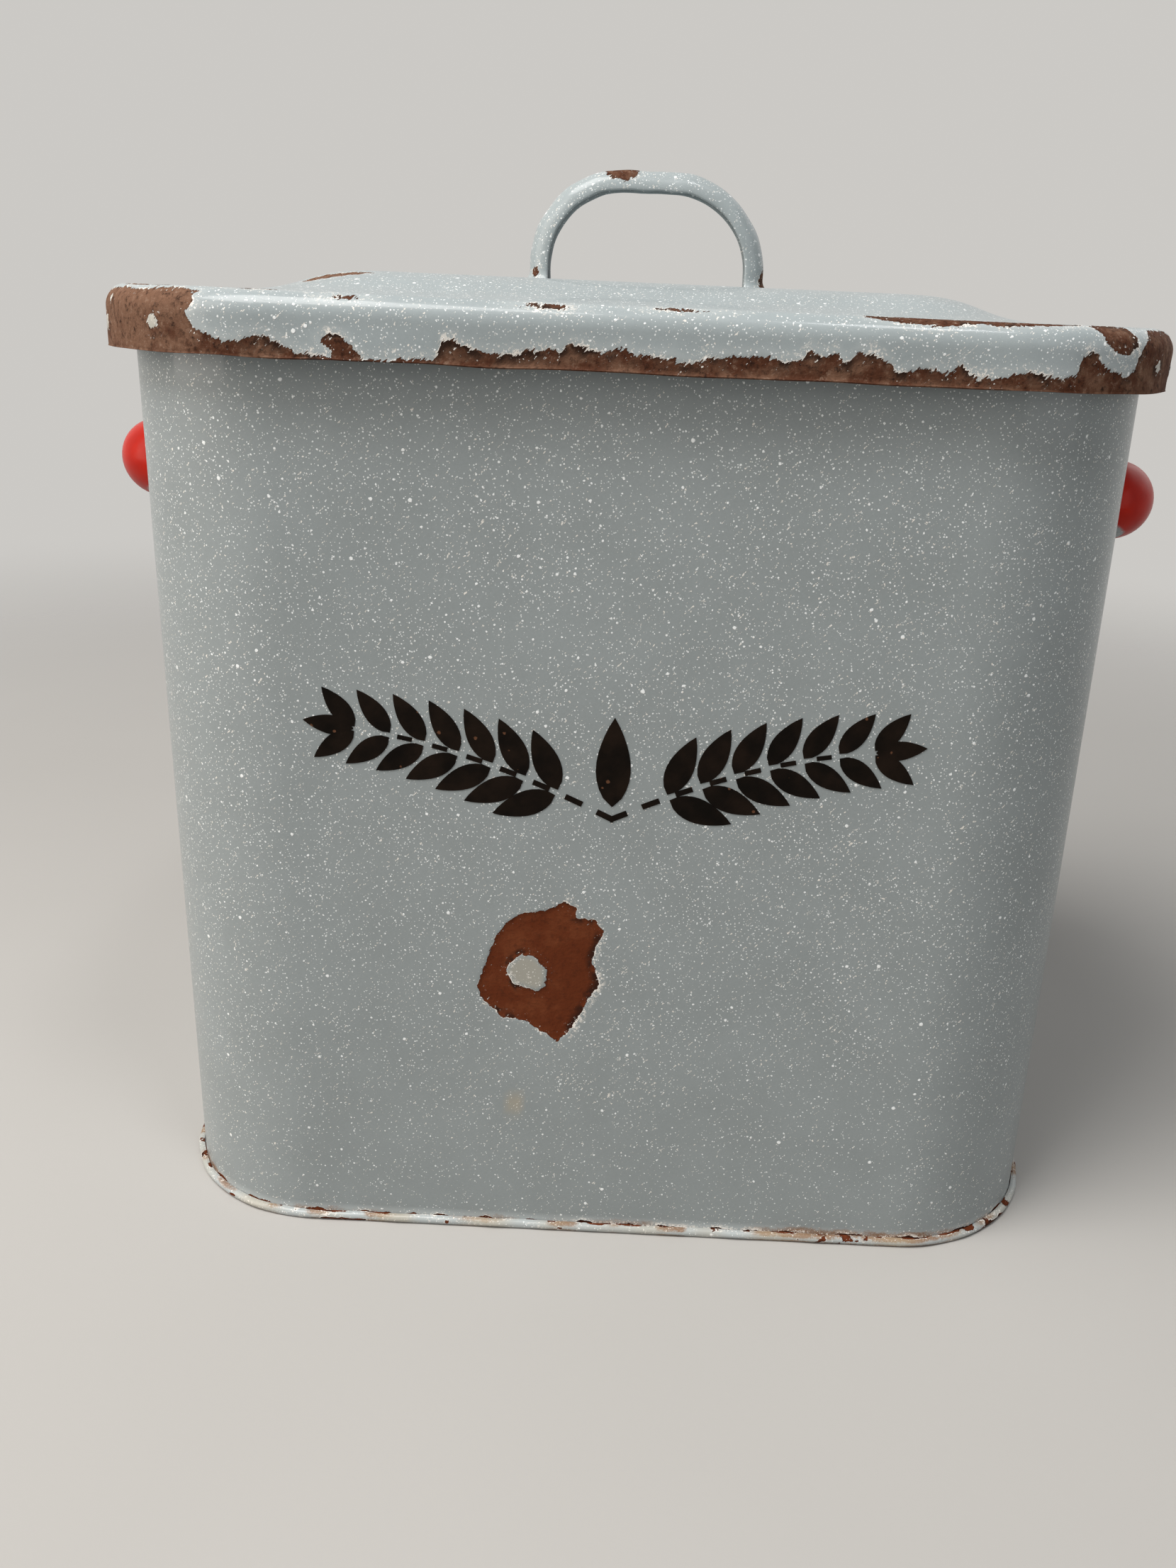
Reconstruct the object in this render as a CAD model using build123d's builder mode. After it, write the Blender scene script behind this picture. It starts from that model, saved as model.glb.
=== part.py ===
"""Bread bin: an enamelled steel bin with a lift-off lid, a lid handle and two side handles.

Millimetres, +Z up. The origin is the middle of the footprint and the front faces -Y.
"""

import os
from math import atan2, degrees

from build123d import *

os.makedirs("parts", exist_ok=True)

# Sheet and fits
sheet_thickness = 1.0
fold_gap = 0.05
lid_seat_gap = 0.3
lid_side_gap = 1.9
cut_overrun = 5.0

# Wall
body_width = 330.0
body_depth = 240.0
body_corner_radius = 56.0
body_height = 325.0
rim_inner_radius = 2.2
rim_wrap_angle = 265.0
flange_reach = 1.1
flare_radius = 0.8
seam_width = 12.0
seam_end_gap = 3.0

# Base
hem_cover = 0.7
foot_ring_width = 6.0
base_recess = 3.0
base_step_run = 9.0

# Lid
skirt_height = 18.5
shoulder_radius = 7.0
ledge_side_width = 36.0
ledge_front_width = 33.0
panel_foot_radius = 52.0
slope_share = 0.82
panel_rise = 7.5

# Lid handle
lid_handle_span = 87.0
lid_handle_rise = 39.0
lid_handle_radius = 6.5
lid_handle_bend_share = 0.85

# Side handles
side_handle_length = 94.0
side_handle_reach = 28.0
side_handle_radius = 14.0
side_handle_bend_share = 0.8
side_handle_drop = 59.0
side_foot_share = 0.68
side_foot_drop = 3.0
side_foot_margin = 4.0
strap_thickness = 1.3

# Sizes that follow from those above
half_sheet = sheet_thickness / 2
hem_bend_radius = sheet_thickness + fold_gap
flange_level = sheet_thickness + fold_gap + half_sheet
hem_top = 2 * hem_bend_radius + sheet_thickness
rim_outer_radius = rim_inner_radius + sheet_thickness
rim_bend_radius = rim_inner_radius + half_sheet
rim_level = body_height - rim_outer_radius
rim_reach = 2 * rim_inner_radius + sheet_thickness
lid_overhang = rim_reach + lid_side_gap + sheet_thickness
lid_width = body_width + 2 * lid_overhang
lid_depth = body_depth + 2 * lid_overhang
lid_corner_radius = body_corner_radius + lid_overhang
ledge_top = body_height + lid_seat_gap + sheet_thickness
panel_top = ledge_top + panel_rise
panel_foot_width = lid_width - 2 * ledge_side_width
panel_foot_depth = lid_depth - 2 * ledge_front_width
slope_run = slope_share * panel_foot_radius


def rounded_track(width, depth, corner_radius):
    """The closed outline that a sheet's section is carried round."""
    with BuildSketch() as outline:
        RectangleRounded(width, depth, corner_radius)
    return outline.wire()


def track_plane(track):
    """The upright plane across a track's start, with its x axis pointing outwards."""
    along = track % 0
    outward = along.cross(Vector(0, 0, 1))
    return Plane(origin=track @ 0, x_dir=outward, z_dir=-along)


def rise_bend(start, run, rise):
    """Two equal tangent arcs that lift a sheet inwards from one level to the next."""
    turn = 2 * atan2(rise, run)
    radius = (run**2 + rise**2) / (4 * rise)
    lower = JernArc(start, (-1, 0), radius, -degrees(turn))
    JernArc(lower @ 1, lower % 1, radius, degrees(turn))


def half_round(radius):
    """A half-round strap's section, open towards the sketch's -X side."""
    Circle(radius)
    Circle(radius - strap_thickness, mode=Mode.SUBTRACT)
    Rectangle(2 * radius, 2 * radius, align=(Align.MAX, Align.CENTER), mode=Mode.SUBTRACT)


# Wall: turned-out foot, upright wall and outward roll at the top
wall_track = rounded_track(body_width, body_depth, body_corner_radius)
with BuildPart() as body_wall:
    with BuildSketch(track_plane(wall_track)):
        with BuildLine():
            flare_start = flare_radius - half_sheet
            Line((flange_reach, flange_level), (flare_start, flange_level))
            CenterArc((flare_start, flange_level + flare_radius), flare_radius, 270, -90)
            Line((-half_sheet, flange_level + flare_radius), (-half_sheet, rim_level))
            CenterArc((rim_bend_radius - half_sheet, rim_level), rim_bend_radius, 180, -rim_wrap_angle)
        trace(line_width=sheet_thickness)
    sweep(path=wall_track)
    seam_bottom = hem_top + seam_end_gap
    seam_top = rim_level - rim_outer_radius - seam_end_gap
    with BuildSketch(Plane.XY.offset(seam_bottom)):
        with Locations((0, body_depth / 2)):
            Rectangle(seam_width, sheet_thickness, align=(Align.CENTER, Align.MIN))
    extrude(amount=seam_top - seam_bottom)
body_wall.part.label = "body_wall"
export_step(body_wall.part, "parts/body_wall.step")

# Base: hem folded over the wall's foot, a flat ring to stand on and a raised floor
floor_inset = sheet_thickness + foot_ring_width + base_step_run
with BuildPart() as base_pan:
    with BuildSketch(track_plane(wall_track)):
        with BuildLine():
            hem_middle = flange_reach + fold_gap
            ring_inner = -sheet_thickness - foot_ring_width
            Line((flange_reach - hem_cover, hem_top - half_sheet), (hem_middle, hem_top - half_sheet))
            CenterArc((hem_middle, hem_top / 2), hem_bend_radius, 90, -180)
            Line((hem_middle, half_sheet), (ring_inner, half_sheet))
            rise_bend((ring_inner, half_sheet), base_step_run, base_recess)
        trace(line_width=sheet_thickness)
    sweep(path=wall_track)
    with BuildSketch(Plane.XY.offset(base_recess)):
        floor_corner = body_corner_radius - floor_inset
        RectangleRounded(body_width - 2 * floor_inset, body_depth - 2 * floor_inset, floor_corner)
    extrude(amount=sheet_thickness)
base_pan.part.label = "base_pan"
export_step(base_pan.part, "parts/base_pan.step")

# Lid: skirt, rounded shoulder, flat ledge, slope and raised panel
lid_track = rounded_track(lid_width, lid_depth, lid_corner_radius)
slope_track = rounded_track(panel_foot_width, panel_foot_depth, panel_foot_radius)
ledge_level = ledge_top - half_sheet
with BuildPart() as lid_shell:
    with BuildSketch(track_plane(lid_track)):
        with BuildLine():
            shoulder_bend = shoulder_radius - half_sheet
            shoulder_level = ledge_level - shoulder_bend
            Line((-half_sheet, ledge_top - skirt_height), (-half_sheet, shoulder_level))
            CenterArc((-shoulder_radius, shoulder_level), shoulder_bend, 0, 90)
        trace(line_width=sheet_thickness)
    sweep(path=lid_track)
    with BuildSketch(Plane.XY.offset(ledge_top - sheet_thickness)):
        ledge_corner = lid_corner_radius - shoulder_radius
        RectangleRounded(lid_width - 2 * shoulder_radius, lid_depth - 2 * shoulder_radius, ledge_corner)
        RectangleRounded(panel_foot_width, panel_foot_depth, panel_foot_radius, mode=Mode.SUBTRACT)
    extrude(amount=sheet_thickness)
    with BuildSketch(track_plane(slope_track)):
        with BuildLine():
            rise_bend((0, ledge_level), slope_run, panel_rise)
        trace(line_width=sheet_thickness)
    sweep(path=slope_track)
    with BuildSketch(Plane.XY.offset(panel_top - sheet_thickness)):
        panel_corner = panel_foot_radius - slope_run
        RectangleRounded(panel_foot_width - 2 * slope_run, panel_foot_depth - 2 * slope_run, panel_corner)
    extrude(amount=sheet_thickness)
lid_shell.part.label = "lid_shell"
export_step(lid_shell.part, "parts/lid_shell.step")

# Lid handle: half-round strap arch standing on the panel
arch_half_span = lid_handle_span / 2 - lid_handle_radius
arch_rise = lid_handle_rise - lid_handle_radius
arch_bend = lid_handle_bend_share * min(arch_half_span, arch_rise)
with BuildPart() as lid_handle:
    with BuildLine(Plane.XZ) as arch:
        Polyline(
            (arch_half_span, panel_top),
            (arch_half_span, panel_top + arch_rise),
            (-arch_half_span, panel_top + arch_rise),
            (-arch_half_span, panel_top),
        )
        fillet(arch.vertices().group_by(Axis.Z)[-1], radius=arch_bend)
    with BuildSketch(Plane(origin=(arch_half_span, 0, panel_top), x_dir=(1, 0, 0), z_dir=(0, 0, 1))):
        half_round(lid_handle_radius)
    sweep(path=arch.line)
lid_handle.part.label = "lid_handle"
export_step(lid_handle.part, "parts/lid_handle.step")

# Side handle: half-round strap loop narrowed towards its feet, with a thin pad under each foot
wall_side = body_width / 2
side_handle_height = body_height - side_handle_drop
loop_half_length = side_handle_length / 2 - side_handle_radius
loop_reach = side_handle_reach - side_handle_radius
loop_bend = side_handle_bend_share * min(loop_half_length, loop_reach)
foot_half_height = side_foot_share * side_handle_radius
foot_level = side_handle_height - side_foot_drop
pad_height = 2 * (foot_half_height + side_foot_margin)
pad_width = side_handle_radius + side_foot_margin
with BuildPart() as right_side_handle:
    with BuildLine(Plane.XY.offset(side_handle_height)) as loop:
        Polyline(
            (wall_side, -loop_half_length),
            (wall_side + loop_reach, -loop_half_length),
            (wall_side + loop_reach, loop_half_length),
            (wall_side, loop_half_length),
        )
        fillet(loop.vertices().group_by(Axis.X)[-1], radius=loop_bend)
    foot = (wall_side, -loop_half_length, side_handle_height)
    with BuildSketch(Plane(origin=foot, x_dir=(0, -1, 0), z_dir=(1, 0, 0))):
        half_round(side_handle_radius)
    sweep(path=loop.line)
    with BuildSketch(Plane.XZ):
        with BuildLine():
            Polyline(
                (wall_side, foot_level - foot_half_height),
                (wall_side + loop_reach, side_handle_height - side_handle_radius),
                (wall_side + side_handle_reach, side_handle_height - side_handle_radius),
                (wall_side + side_handle_reach, side_handle_height + side_handle_radius),
                (wall_side + loop_reach, side_handle_height + side_handle_radius),
                (wall_side, foot_level + foot_half_height),
                close=True,
            )
        make_face()
    extrude(amount=side_handle_length / 2 + cut_overrun, both=True, mode=Mode.INTERSECT)
    with BuildSketch(Plane.YZ.offset(wall_side)):
        pad_middle = loop_half_length + side_handle_radius / 2
        with Locations((-pad_middle, foot_level), (pad_middle, foot_level)):
            Ellipse(pad_width / 2, pad_height / 2)
    extrude(amount=strap_thickness)
right_side_handle.part.label = "right_side_handle"
export_step(right_side_handle.part, "parts/right_side_handle.step")

with BuildPart() as left_side_handle:
    add(mirror(right_side_handle.part, about=Plane.YZ))
left_side_handle.part.label = "left_side_handle"
export_step(left_side_handle.part, "parts/left_side_handle.step")
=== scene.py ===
"""Dresses the enamelled bread bin and stands it in a plain studio.

Metres, +Z up, front towards -Y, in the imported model's own frame. Sizes inside the classes are
millimetres, as a sheet-metal worker writes them, and are turned into metres when a mesh is made.
"""

import logging
import math
from collections.abc import Mapping, Sequence
from dataclasses import dataclass
from enum import Enum
from typing import ClassVar

import bmesh
import bpy
import numpy as np
from mathutils import Matrix, Vector


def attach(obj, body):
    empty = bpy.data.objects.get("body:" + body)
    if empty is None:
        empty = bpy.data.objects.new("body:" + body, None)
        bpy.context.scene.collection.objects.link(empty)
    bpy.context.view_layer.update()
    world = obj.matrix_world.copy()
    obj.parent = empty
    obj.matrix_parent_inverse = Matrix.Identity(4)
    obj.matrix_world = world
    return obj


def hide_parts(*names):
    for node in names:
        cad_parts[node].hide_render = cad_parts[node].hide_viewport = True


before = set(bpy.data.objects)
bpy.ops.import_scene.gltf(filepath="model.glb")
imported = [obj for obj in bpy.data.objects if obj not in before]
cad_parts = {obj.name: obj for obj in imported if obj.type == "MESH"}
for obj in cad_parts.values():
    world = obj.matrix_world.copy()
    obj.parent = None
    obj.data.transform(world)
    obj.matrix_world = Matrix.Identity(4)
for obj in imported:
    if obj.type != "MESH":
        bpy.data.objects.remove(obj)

Array = np.ndarray
Point2 = tuple[float, float]
Point3 = tuple[float, float, float]
Colour = tuple[float, float, float, float]
Settings = Mapping[str, object]
Inputs = Mapping[str | int, object]

MM = 0.001
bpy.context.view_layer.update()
log = logging.getLogger("bread_bin")

# A depth of wear is kept between these two
FAR = -20.0
DEEP = 20.0

# Keeps a division from meeting nought
TINY = 1e-6

# Sizes that several pieces share
SHEET = 1.0
STRAP = 1.3
BODY_HEIGHT = 325.0
HEM_TOP = 3.1
LID_SEAT = 0.3
LID_OVERHANG = 8.3
SKIRT = 18.5
LEDGE_AT_SIDE = 36.0
LEDGE_AT_FRONT = 33.0
SLOPE_CORNER = 52.0
LEDGE_TOP = BODY_HEIGHT + LID_SEAT + SHEET
PANEL_RISE = 7.5
GRIP_DROP = 59.0

# Points round a half-round strap and over each of its lips
STRAP_POINTS = 25
LIP_POINTS = 5

# Tones and stretches that several finishes share
GREY_GROUND: Colour = (0.256, 0.285, 0.290, 1.0)
WHITE_SPLASH: Colour = (0.745, 0.77, 0.77, 1.0)
BESIDE_CHIP: Point2 = (-3.0, -0.5)


class Body(Enum):
    """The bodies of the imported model."""

    BIN = "bin"
    LID = "lid"


class Slot(Enum):
    """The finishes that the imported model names."""

    SPECKLED = "speckled_enamel"
    RED = "red_enamel"


class Side(Enum):
    """The side of the bin that a handle is welded to."""

    LEFT = -1.0
    RIGHT = 1.0


# Small sums and shapes that several pieces share


def smooth_step(low: float, high: float, value: Array) -> Array:
    """Rise smoothly from 0 to 1 between two values.

    Args:
        low: Value at which the rise starts.
        high: Value at which it ends.
        value: Values to be eased.

    Returns:
        The eased values.
    """
    t = np.clip((value - low) / (high - low), 0.0, 1.0)
    return t * t * (3.0 - 2.0 * t)


def smooth_fall(low: float, high: float, value: Array) -> Array:
    """Fall smoothly from 1 to 0 between two values."""
    return 1.0 - smooth_step(low, high, value)


def plateau(rise: Point2, fall: Point2, value: Array) -> Array:
    """Rise smoothly from 0 to 1 over one stretch and fall back over a later one."""
    return smooth_step(*rise, value) * smooth_fall(*fall, value)


def bounded(bare: Array) -> Array:
    """Keep a depth of wear within the range that the finishes read."""
    return np.clip(bare, FAR, DEEP)


def raised(level: Array, height: float | Array) -> Array:
    """Put level positions, one pair a row, at a height."""
    return np.column_stack((level, np.broadcast_to(height, len(level))))


def arc(middle: Point2, radius: float, angles: Array) -> Array:
    """Draw the points of an arc at angles in radians."""
    return np.array(middle) + radius * np.column_stack((np.cos(angles), np.sin(angles)))


def half_round(radius: float, thickness: float) -> Array:
    """Draw a half-round strap's closed section, open inwards, with softened lips.

    Args:
        radius: Outside radius.
        thickness: Thickness of the strap.

    Returns:
        Pairs of outward reach and height.
    """
    over = np.radians(np.linspace(-90.0, 90.0, STRAP_POINTS))
    lip = np.radians(np.linspace(120.0, 240.0, LIP_POINTS))
    outer = arc((0.0, 0.0), radius, over)
    inner = arc((0.0, 0.0), radius - thickness, over[::-1])
    top = arc((0.0, radius - thickness / 2.0), thickness / 2.0, lip)
    bottom = top[::-1] * np.array((1.0, -1.0))
    return np.concatenate((outer, top, inner, bottom))


def depth_inside(points: Array, outline: Sequence[Point2]) -> Array:
    """Measure how far inside a given outline each point lies.

    Args:
        points: Points to be measured, one pair a row.
        outline: Corners of the closed outline.

    Returns:
        Distance to the outline, negative outside it.
    """
    start = np.asarray(outline, dtype=float)
    end = np.roll(start, -1, axis=0)
    along = end - start
    reach = points[:, None, :] - start[None]
    share = np.clip((reach * along).sum(2) / (along**2).sum(1), 0.0, 1.0)
    nearest = np.linalg.norm(reach - share[..., None] * along, axis=2).min(1)
    below = start[None, :, 1] <= points[:, None, 1]
    crossing = below != (end[None, :, 1] <= points[:, None, 1])
    rise = np.where(along[:, 1] == 0.0, 1.0, along[:, 1])
    at_x = start[:, 0] + (points[:, None, 1] - start[:, 1]) / rise * along[:, 0]
    inside = (crossing & (points[:, None, 0] < at_x)).sum(1) % 2 == 1
    return np.where(inside, nearest, -nearest)


@dataclass(frozen=True)
class Oval:
    """An oval patch, on a sheet or in the round."""

    middle: tuple[float, ...]
    reach: tuple[float, ...]
    deepest: float

    @classmethod
    def spot(cls, x: float, y: float, radius: float) -> "Oval":
        """Make a round patch on a sheet."""
        return cls((x, y), (radius, radius), radius)

    def depth(self, points: Array) -> Array:
        """Measure how deep inside the patch each point lies, negative outside it."""
        away = (points - np.array(self.middle)) / np.array(self.reach)
        return (1.0 - np.linalg.norm(away, axis=1)) * self.deepest


@dataclass(frozen=True)
class Ripple:
    """Smooth seeded unevenness about a middle value, summed from waves in every direction."""

    length: float
    seed: int
    reach: float = 1.0
    middle: float = 0.0
    waves: int = 26

    # Shortest and longest wave, as shares of the length
    spread: ClassVar[Point2] = (0.6, 1.7)

    def at(self, points: Array) -> Array:
        """Read the unevenness at points in millimetres.

        Args:
            points: Points in one, two or three directions, one a row.

        Returns:
            The uneven value at each point.
        """
        rng = np.random.default_rng(self.seed)
        heading = rng.normal(size=(self.waves, points.shape[1]))
        heading /= np.linalg.norm(heading, axis=1, keepdims=True)
        rate = 2.0 * math.pi / (self.length * rng.uniform(*self.spread, self.waves))
        phase = rng.uniform(0.0, 2.0 * math.pi, self.waves)
        total = np.sin(points @ (heading * rate[:, None]).T + phase).sum(1)
        return self.middle + self.reach * (total / math.sqrt(self.waves / 2.0))

    def along(self, lengths: Array) -> Array:
        """Read the unevenness at lengths along an edge."""
        return self.at(lengths[:, None])


@dataclass(frozen=True)
class RoundedOutline:
    """A level rounded rectangle about the bin's upright axis."""

    width: float
    depth: float
    radius: float

    @property
    def straight(self) -> Point2:
        """Half lengths of the straight runs at the front and at the side."""
        return self.width / 2.0 - self.radius, self.depth / 2.0 - self.radius

    def grown(self, margin: float) -> "RoundedOutline":
        """Make the outline that runs at an even margin outside this one."""
        return RoundedOutline(self.width + 2.0 * margin, self.depth + 2.0 * margin, self.radius + margin)

    def stations(self, front: int, side: int, corner: int) -> tuple[Array, Array]:
        """Space stations round the outline, anticlockwise from the front's left end.

        Args:
            front: Stations on the front run and on the back run.
            side: Stations on each side run.
            corner: Stations on each corner.

        Returns:
            The stations and the outward directions there.
        """
        a, b = self.straight
        corners = ((a, -b), (a, b), (-a, b), (-a, -b))
        counts = (front, side, front, side)
        points, outward = [], []
        for turn, (count, start, end) in enumerate(zip(counts, corners[3:] + corners[:3], corners)):
            angle = (turn - 1) * math.pi / 2.0
            facing = np.array((math.cos(angle), math.sin(angle)))
            share = np.arange(count)[:, None] / count
            run = np.array(start) + share * (np.array(end) - np.array(start))
            points.append(run + self.radius * facing)
            outward.append(np.tile(facing, (count, 1)))
            bend = arc((0.0, 0.0), 1.0, angle + np.arange(corner) / corner * math.pi / 2.0)
            points.append(np.array(end) + self.radius * bend)
            outward.append(bend)
        return np.concatenate(points), np.concatenate(outward)

    def along(self, points: Array) -> Array:
        """Measure along the outline from the middle of the front, positive to the right.

        Args:
            points: Level positions, one pair a row.

        Returns:
            Length along the outline for each point.
        """
        a, b = self.straight
        quarter = self.radius * math.pi / 2.0
        x, y = np.abs(points[:, 0]), points[:, 1]
        front_turn = np.arctan2(np.maximum(x - a, 0.0), np.maximum(-y - b, TINY))
        back_turn = np.arctan2(np.maximum(y - b, 0.0), np.maximum(x - a, TINY))
        front_bend = a + self.radius * front_turn
        side_run = a + quarter + y + b
        back_bend = a + quarter + 2.0 * b + self.radius * back_turn
        back_run = 2.0 * (a + quarter + b) - x
        length = np.where(y < -b, front_bend, np.where(y < b, side_run, back_bend))
        length = np.where(x < a, np.where(y < 0.0, x, back_run), length)
        return np.copysign(length, points[:, 0])


BODY = RoundedOutline(330.0, 240.0, 56.0)
LID_EDGE = BODY.grown(LID_OVERHANG)
SLOPE_FOOT = RoundedOutline(
    LID_EDGE.width - 2.0 * LEDGE_AT_SIDE, LID_EDGE.depth - 2.0 * LEDGE_AT_FRONT, SLOPE_CORNER)


# Meshes


@dataclass
class SheetMesh:
    """A mesh in millimetres, from which a piece is made."""

    points: Array
    faces: list[Sequence[int]]

    # Distance that joins points, size of a sliver, both in metres, and angle of a sharp edge
    join_within: ClassVar[float] = 1e-6
    sliver: ClassVar[float] = 1e-7
    sharp: ClassVar[float] = math.radians(50.0)

    @classmethod
    def taken_from(cls, mesh: bpy.types.Mesh, unit: float = MM) -> "SheetMesh":
        """Read a Blender mesh.

        Args:
            mesh: The mesh to be read.
            unit: Size of a millimetre in it.

        Returns:
            The same mesh in millimetres.
        """
        points = np.empty(len(mesh.vertices) * 3)
        mesh.vertices.foreach_get("co", points)
        return cls(points.reshape(-1, 3) / unit, [tuple(face.vertices) for face in mesh.polygons])

    def piece(self, name: str, material: bpy.types.Material,
              fields: Mapping[str, Array]) -> bpy.types.Object:
        """Make the finished object at the origin.

        Args:
            name: Name of the piece.
            material: Its finish.
            fields: Values that the finish reads by name, one for each point.

        Returns:
            The object, linked into the scene.
        """
        mesh = bpy.data.meshes.new(name)
        mesh.from_pydata((self.points * MM).tolist(), [], self.faces)
        for key, values in fields.items():
            layer = mesh.attributes.new(key, "FLOAT", "POINT")
            layer.data.foreach_set("value", values.astype(np.float32))
        work = bmesh.new()
        work.from_mesh(mesh)
        bmesh.ops.remove_doubles(work, verts=work.verts, dist=self.join_within)
        bmesh.ops.dissolve_degenerate(work, edges=work.edges, dist=self.sliver)
        bmesh.ops.recalc_face_normals(work, faces=work.faces)
        work.to_mesh(mesh)
        work.free()
        mesh.polygons.foreach_set("use_smooth", np.ones(len(mesh.polygons), dtype=bool))
        mesh.set_sharp_from_angle(angle=self.sharp)
        mesh.materials.append(material)
        return linked(name, mesh)

    def joined(self, other: "SheetMesh") -> "SheetMesh":
        """Put another mesh beside this one.

        Args:
            other: The mesh to be added.

        Returns:
            Both as one mesh.
        """
        shift = len(self.points)
        faces = self.faces + [tuple(index + shift for index in face) for face in other.faces]
        return SheetMesh(np.concatenate((self.points, other.points)), faces)

    def normals(self) -> Array:
        """Work out the direction that each point faces.

        Returns:
            One unit vector a row.
        """
        total = np.zeros_like(self.points)
        corners = np.array([face[:4] if len(face) > 3 else (*face, face[-1]) for face in self.faces])
        p = self.points[corners]
        facing = np.cross(p[:, 2] - p[:, 0], p[:, 3] - p[:, 1])
        for column in range(4):
            np.add.at(total, corners[:, column], facing)
        return total / np.maximum(np.linalg.norm(total, axis=1, keepdims=True), TINY)


def ring_skin(rings: Sequence[Array]) -> SheetMesh:
    """Skin a row of closed rings and cap the first and the last.

    Args:
        rings: Rings of equal length, in order along the section.

    Returns:
        The closed mesh.
    """
    count = len(rings[0])
    here = np.arange(count)
    following = np.roll(here, -1)
    faces: list[Sequence[int]] = [tuple(here[::-1].tolist())]
    for row in range(len(rings) - 1):
        low, high = row * count, (row + 1) * count
        quads = np.stack((low + here, low + following, high + following, high + here), axis=1)
        faces.extend(map(tuple, quads.tolist()))
    faces.append(tuple((here + (len(rings) - 1) * count).tolist()))
    return SheetMesh(np.concatenate(rings), faces)


def linked(name: str, data: bpy.types.ID) -> bpy.types.Object:
    """Make an object of some data and link it into the scene.

    Args:
        name: Name of the object.
        data: Mesh, curve, lamp or camera that it shows.

    Returns:
        The object.
    """
    made = bpy.data.objects.new(name, data)
    bpy.context.scene.collection.objects.link(made)
    return made


def helper_curve(name: str, points: Array, closed: bool) -> bpy.types.Object:
    """Make a helper curve.

    Args:
        name: Name of the helper.
        points: Its points in millimetres.
        closed: Whether it returns to its start.

    Returns:
        The curve's object.
    """
    curve = bpy.data.curves.new(name, "CURVE")
    curve.dimensions = "3D"
    line = curve.splines.new("POLY")
    line.points.add(len(points) - 1)
    line.points.foreach_set("co", np.column_stack((points * MM, np.ones(len(points)))).ravel())
    line.use_cyclic_u = closed
    return linked(name, curve)


def discard(*helpers: bpy.types.Object) -> None:
    """Remove helper objects and the data that they hold."""
    for helper in helpers:
        data = helper.data
        bpy.data.objects.remove(helper)
        store = bpy.data.curves if isinstance(data, bpy.types.Curve) else bpy.data.meshes
        store.remove(data)


# Node trees


class Graph:
    """A node tree while it is being wired."""

    def __init__(self, tree: bpy.types.NodeTree) -> None:
        """Take the tree that nodes are added to."""
        self.tree = tree

    def node(self, kind: str, settings: Settings | None = None,
             inputs: Inputs | None = None) -> bpy.types.Node:
        """Add a node, set its settings and then feed its inputs.

        Args:
            kind: Blender's name for the kind of node.
            settings: Properties of the node.
            inputs: Values or wires by the input's name or place.

        Returns:
            The new node.
        """
        made = self.tree.nodes.new(kind)
        for name, value in (settings or {}).items():
            setattr(made, name, value)
        for key, value in (inputs or {}).items():
            self.feed(made.inputs[key], value)
        return made

    def feed(self, socket: bpy.types.NodeSocket, value: object) -> None:
        """Link a wire to an input, or set the input to a plain value.

        Args:
            socket: The input.
            value: Wire, socket or plain value for it.
        """
        if isinstance(value, Wire):
            self.tree.links.new(value.socket, socket)
        elif isinstance(value, bpy.types.NodeSocket):
            self.tree.links.new(value, socket)
        else:
            socket.default_value = value

    def wire(self, kind: str, settings: Settings | None = None, inputs: Inputs | None = None,
             output: str | int = 0) -> "Wire":
        """Add a node and return one of its outputs as a wire."""
        return Wire(self, self.node(kind, settings, inputs).outputs[output])

    def tint(self, share: object, first: object, second: object) -> "Wire":
        """Mix two colours by a share.

        Args:
            share: Amount of the second colour, from 0 to 1.
            first: Colour where the share is 0.
            second: Colour where the share is 1.

        Returns:
            The mixed colour.
        """
        return self.wire("ShaderNodeMix", {"data_type": "RGBA"}, {0: share, 6: first, 7: second}, 2)

    def blend(self, share: object, first: object, second: object) -> "Wire":
        """Mix two numbers by a share."""
        return self.wire("ShaderNodeMix", {"data_type": "FLOAT"}, {0: share, 2: first, 3: second}, 0)


class Wire:
    """An output socket that can be used in sums."""

    def __init__(self, graph: Graph, socket: bpy.types.NodeSocket) -> None:
        """Hold the socket and the tree it belongs to."""
        self.graph = graph
        self.socket = socket

    def _sum(self, operation: str, first: object, second: object) -> "Wire":
        """Add one maths node."""
        return self.graph.wire("ShaderNodeMath", {"operation": operation}, {0: first, 1: second})

    def __add__(self, other: object) -> "Wire":
        """Add."""
        return self._sum("ADD", self, other)

    __radd__ = __add__

    def __sub__(self, other: object) -> "Wire":
        """Take away."""
        return self._sum("SUBTRACT", self, other)

    def __rsub__(self, other: object) -> "Wire":
        """Take this away from a number."""
        return self._sum("SUBTRACT", other, self)

    def __mul__(self, other: object) -> "Wire":
        """Multiply."""
        return self._sum("MULTIPLY", self, other)

    __rmul__ = __mul__

    def __truediv__(self, other: object) -> "Wire":
        """Divide."""
        return self._sum("DIVIDE", self, other)

    def most(self, other: object) -> "Wire":
        """Keep the greater of two values."""
        return self._sum("MAXIMUM", self, other)

    def ramp(self, low: object, high: object) -> "Wire":
        """Rise smoothly from 0 to 1 between two values."""
        return self.graph.wire("ShaderNodeMapRange", {"interpolation_type": "SMOOTHSTEP"},
                               {0: self, 1: low, 2: high, 3: 0.0, 4: 1.0})


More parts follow.
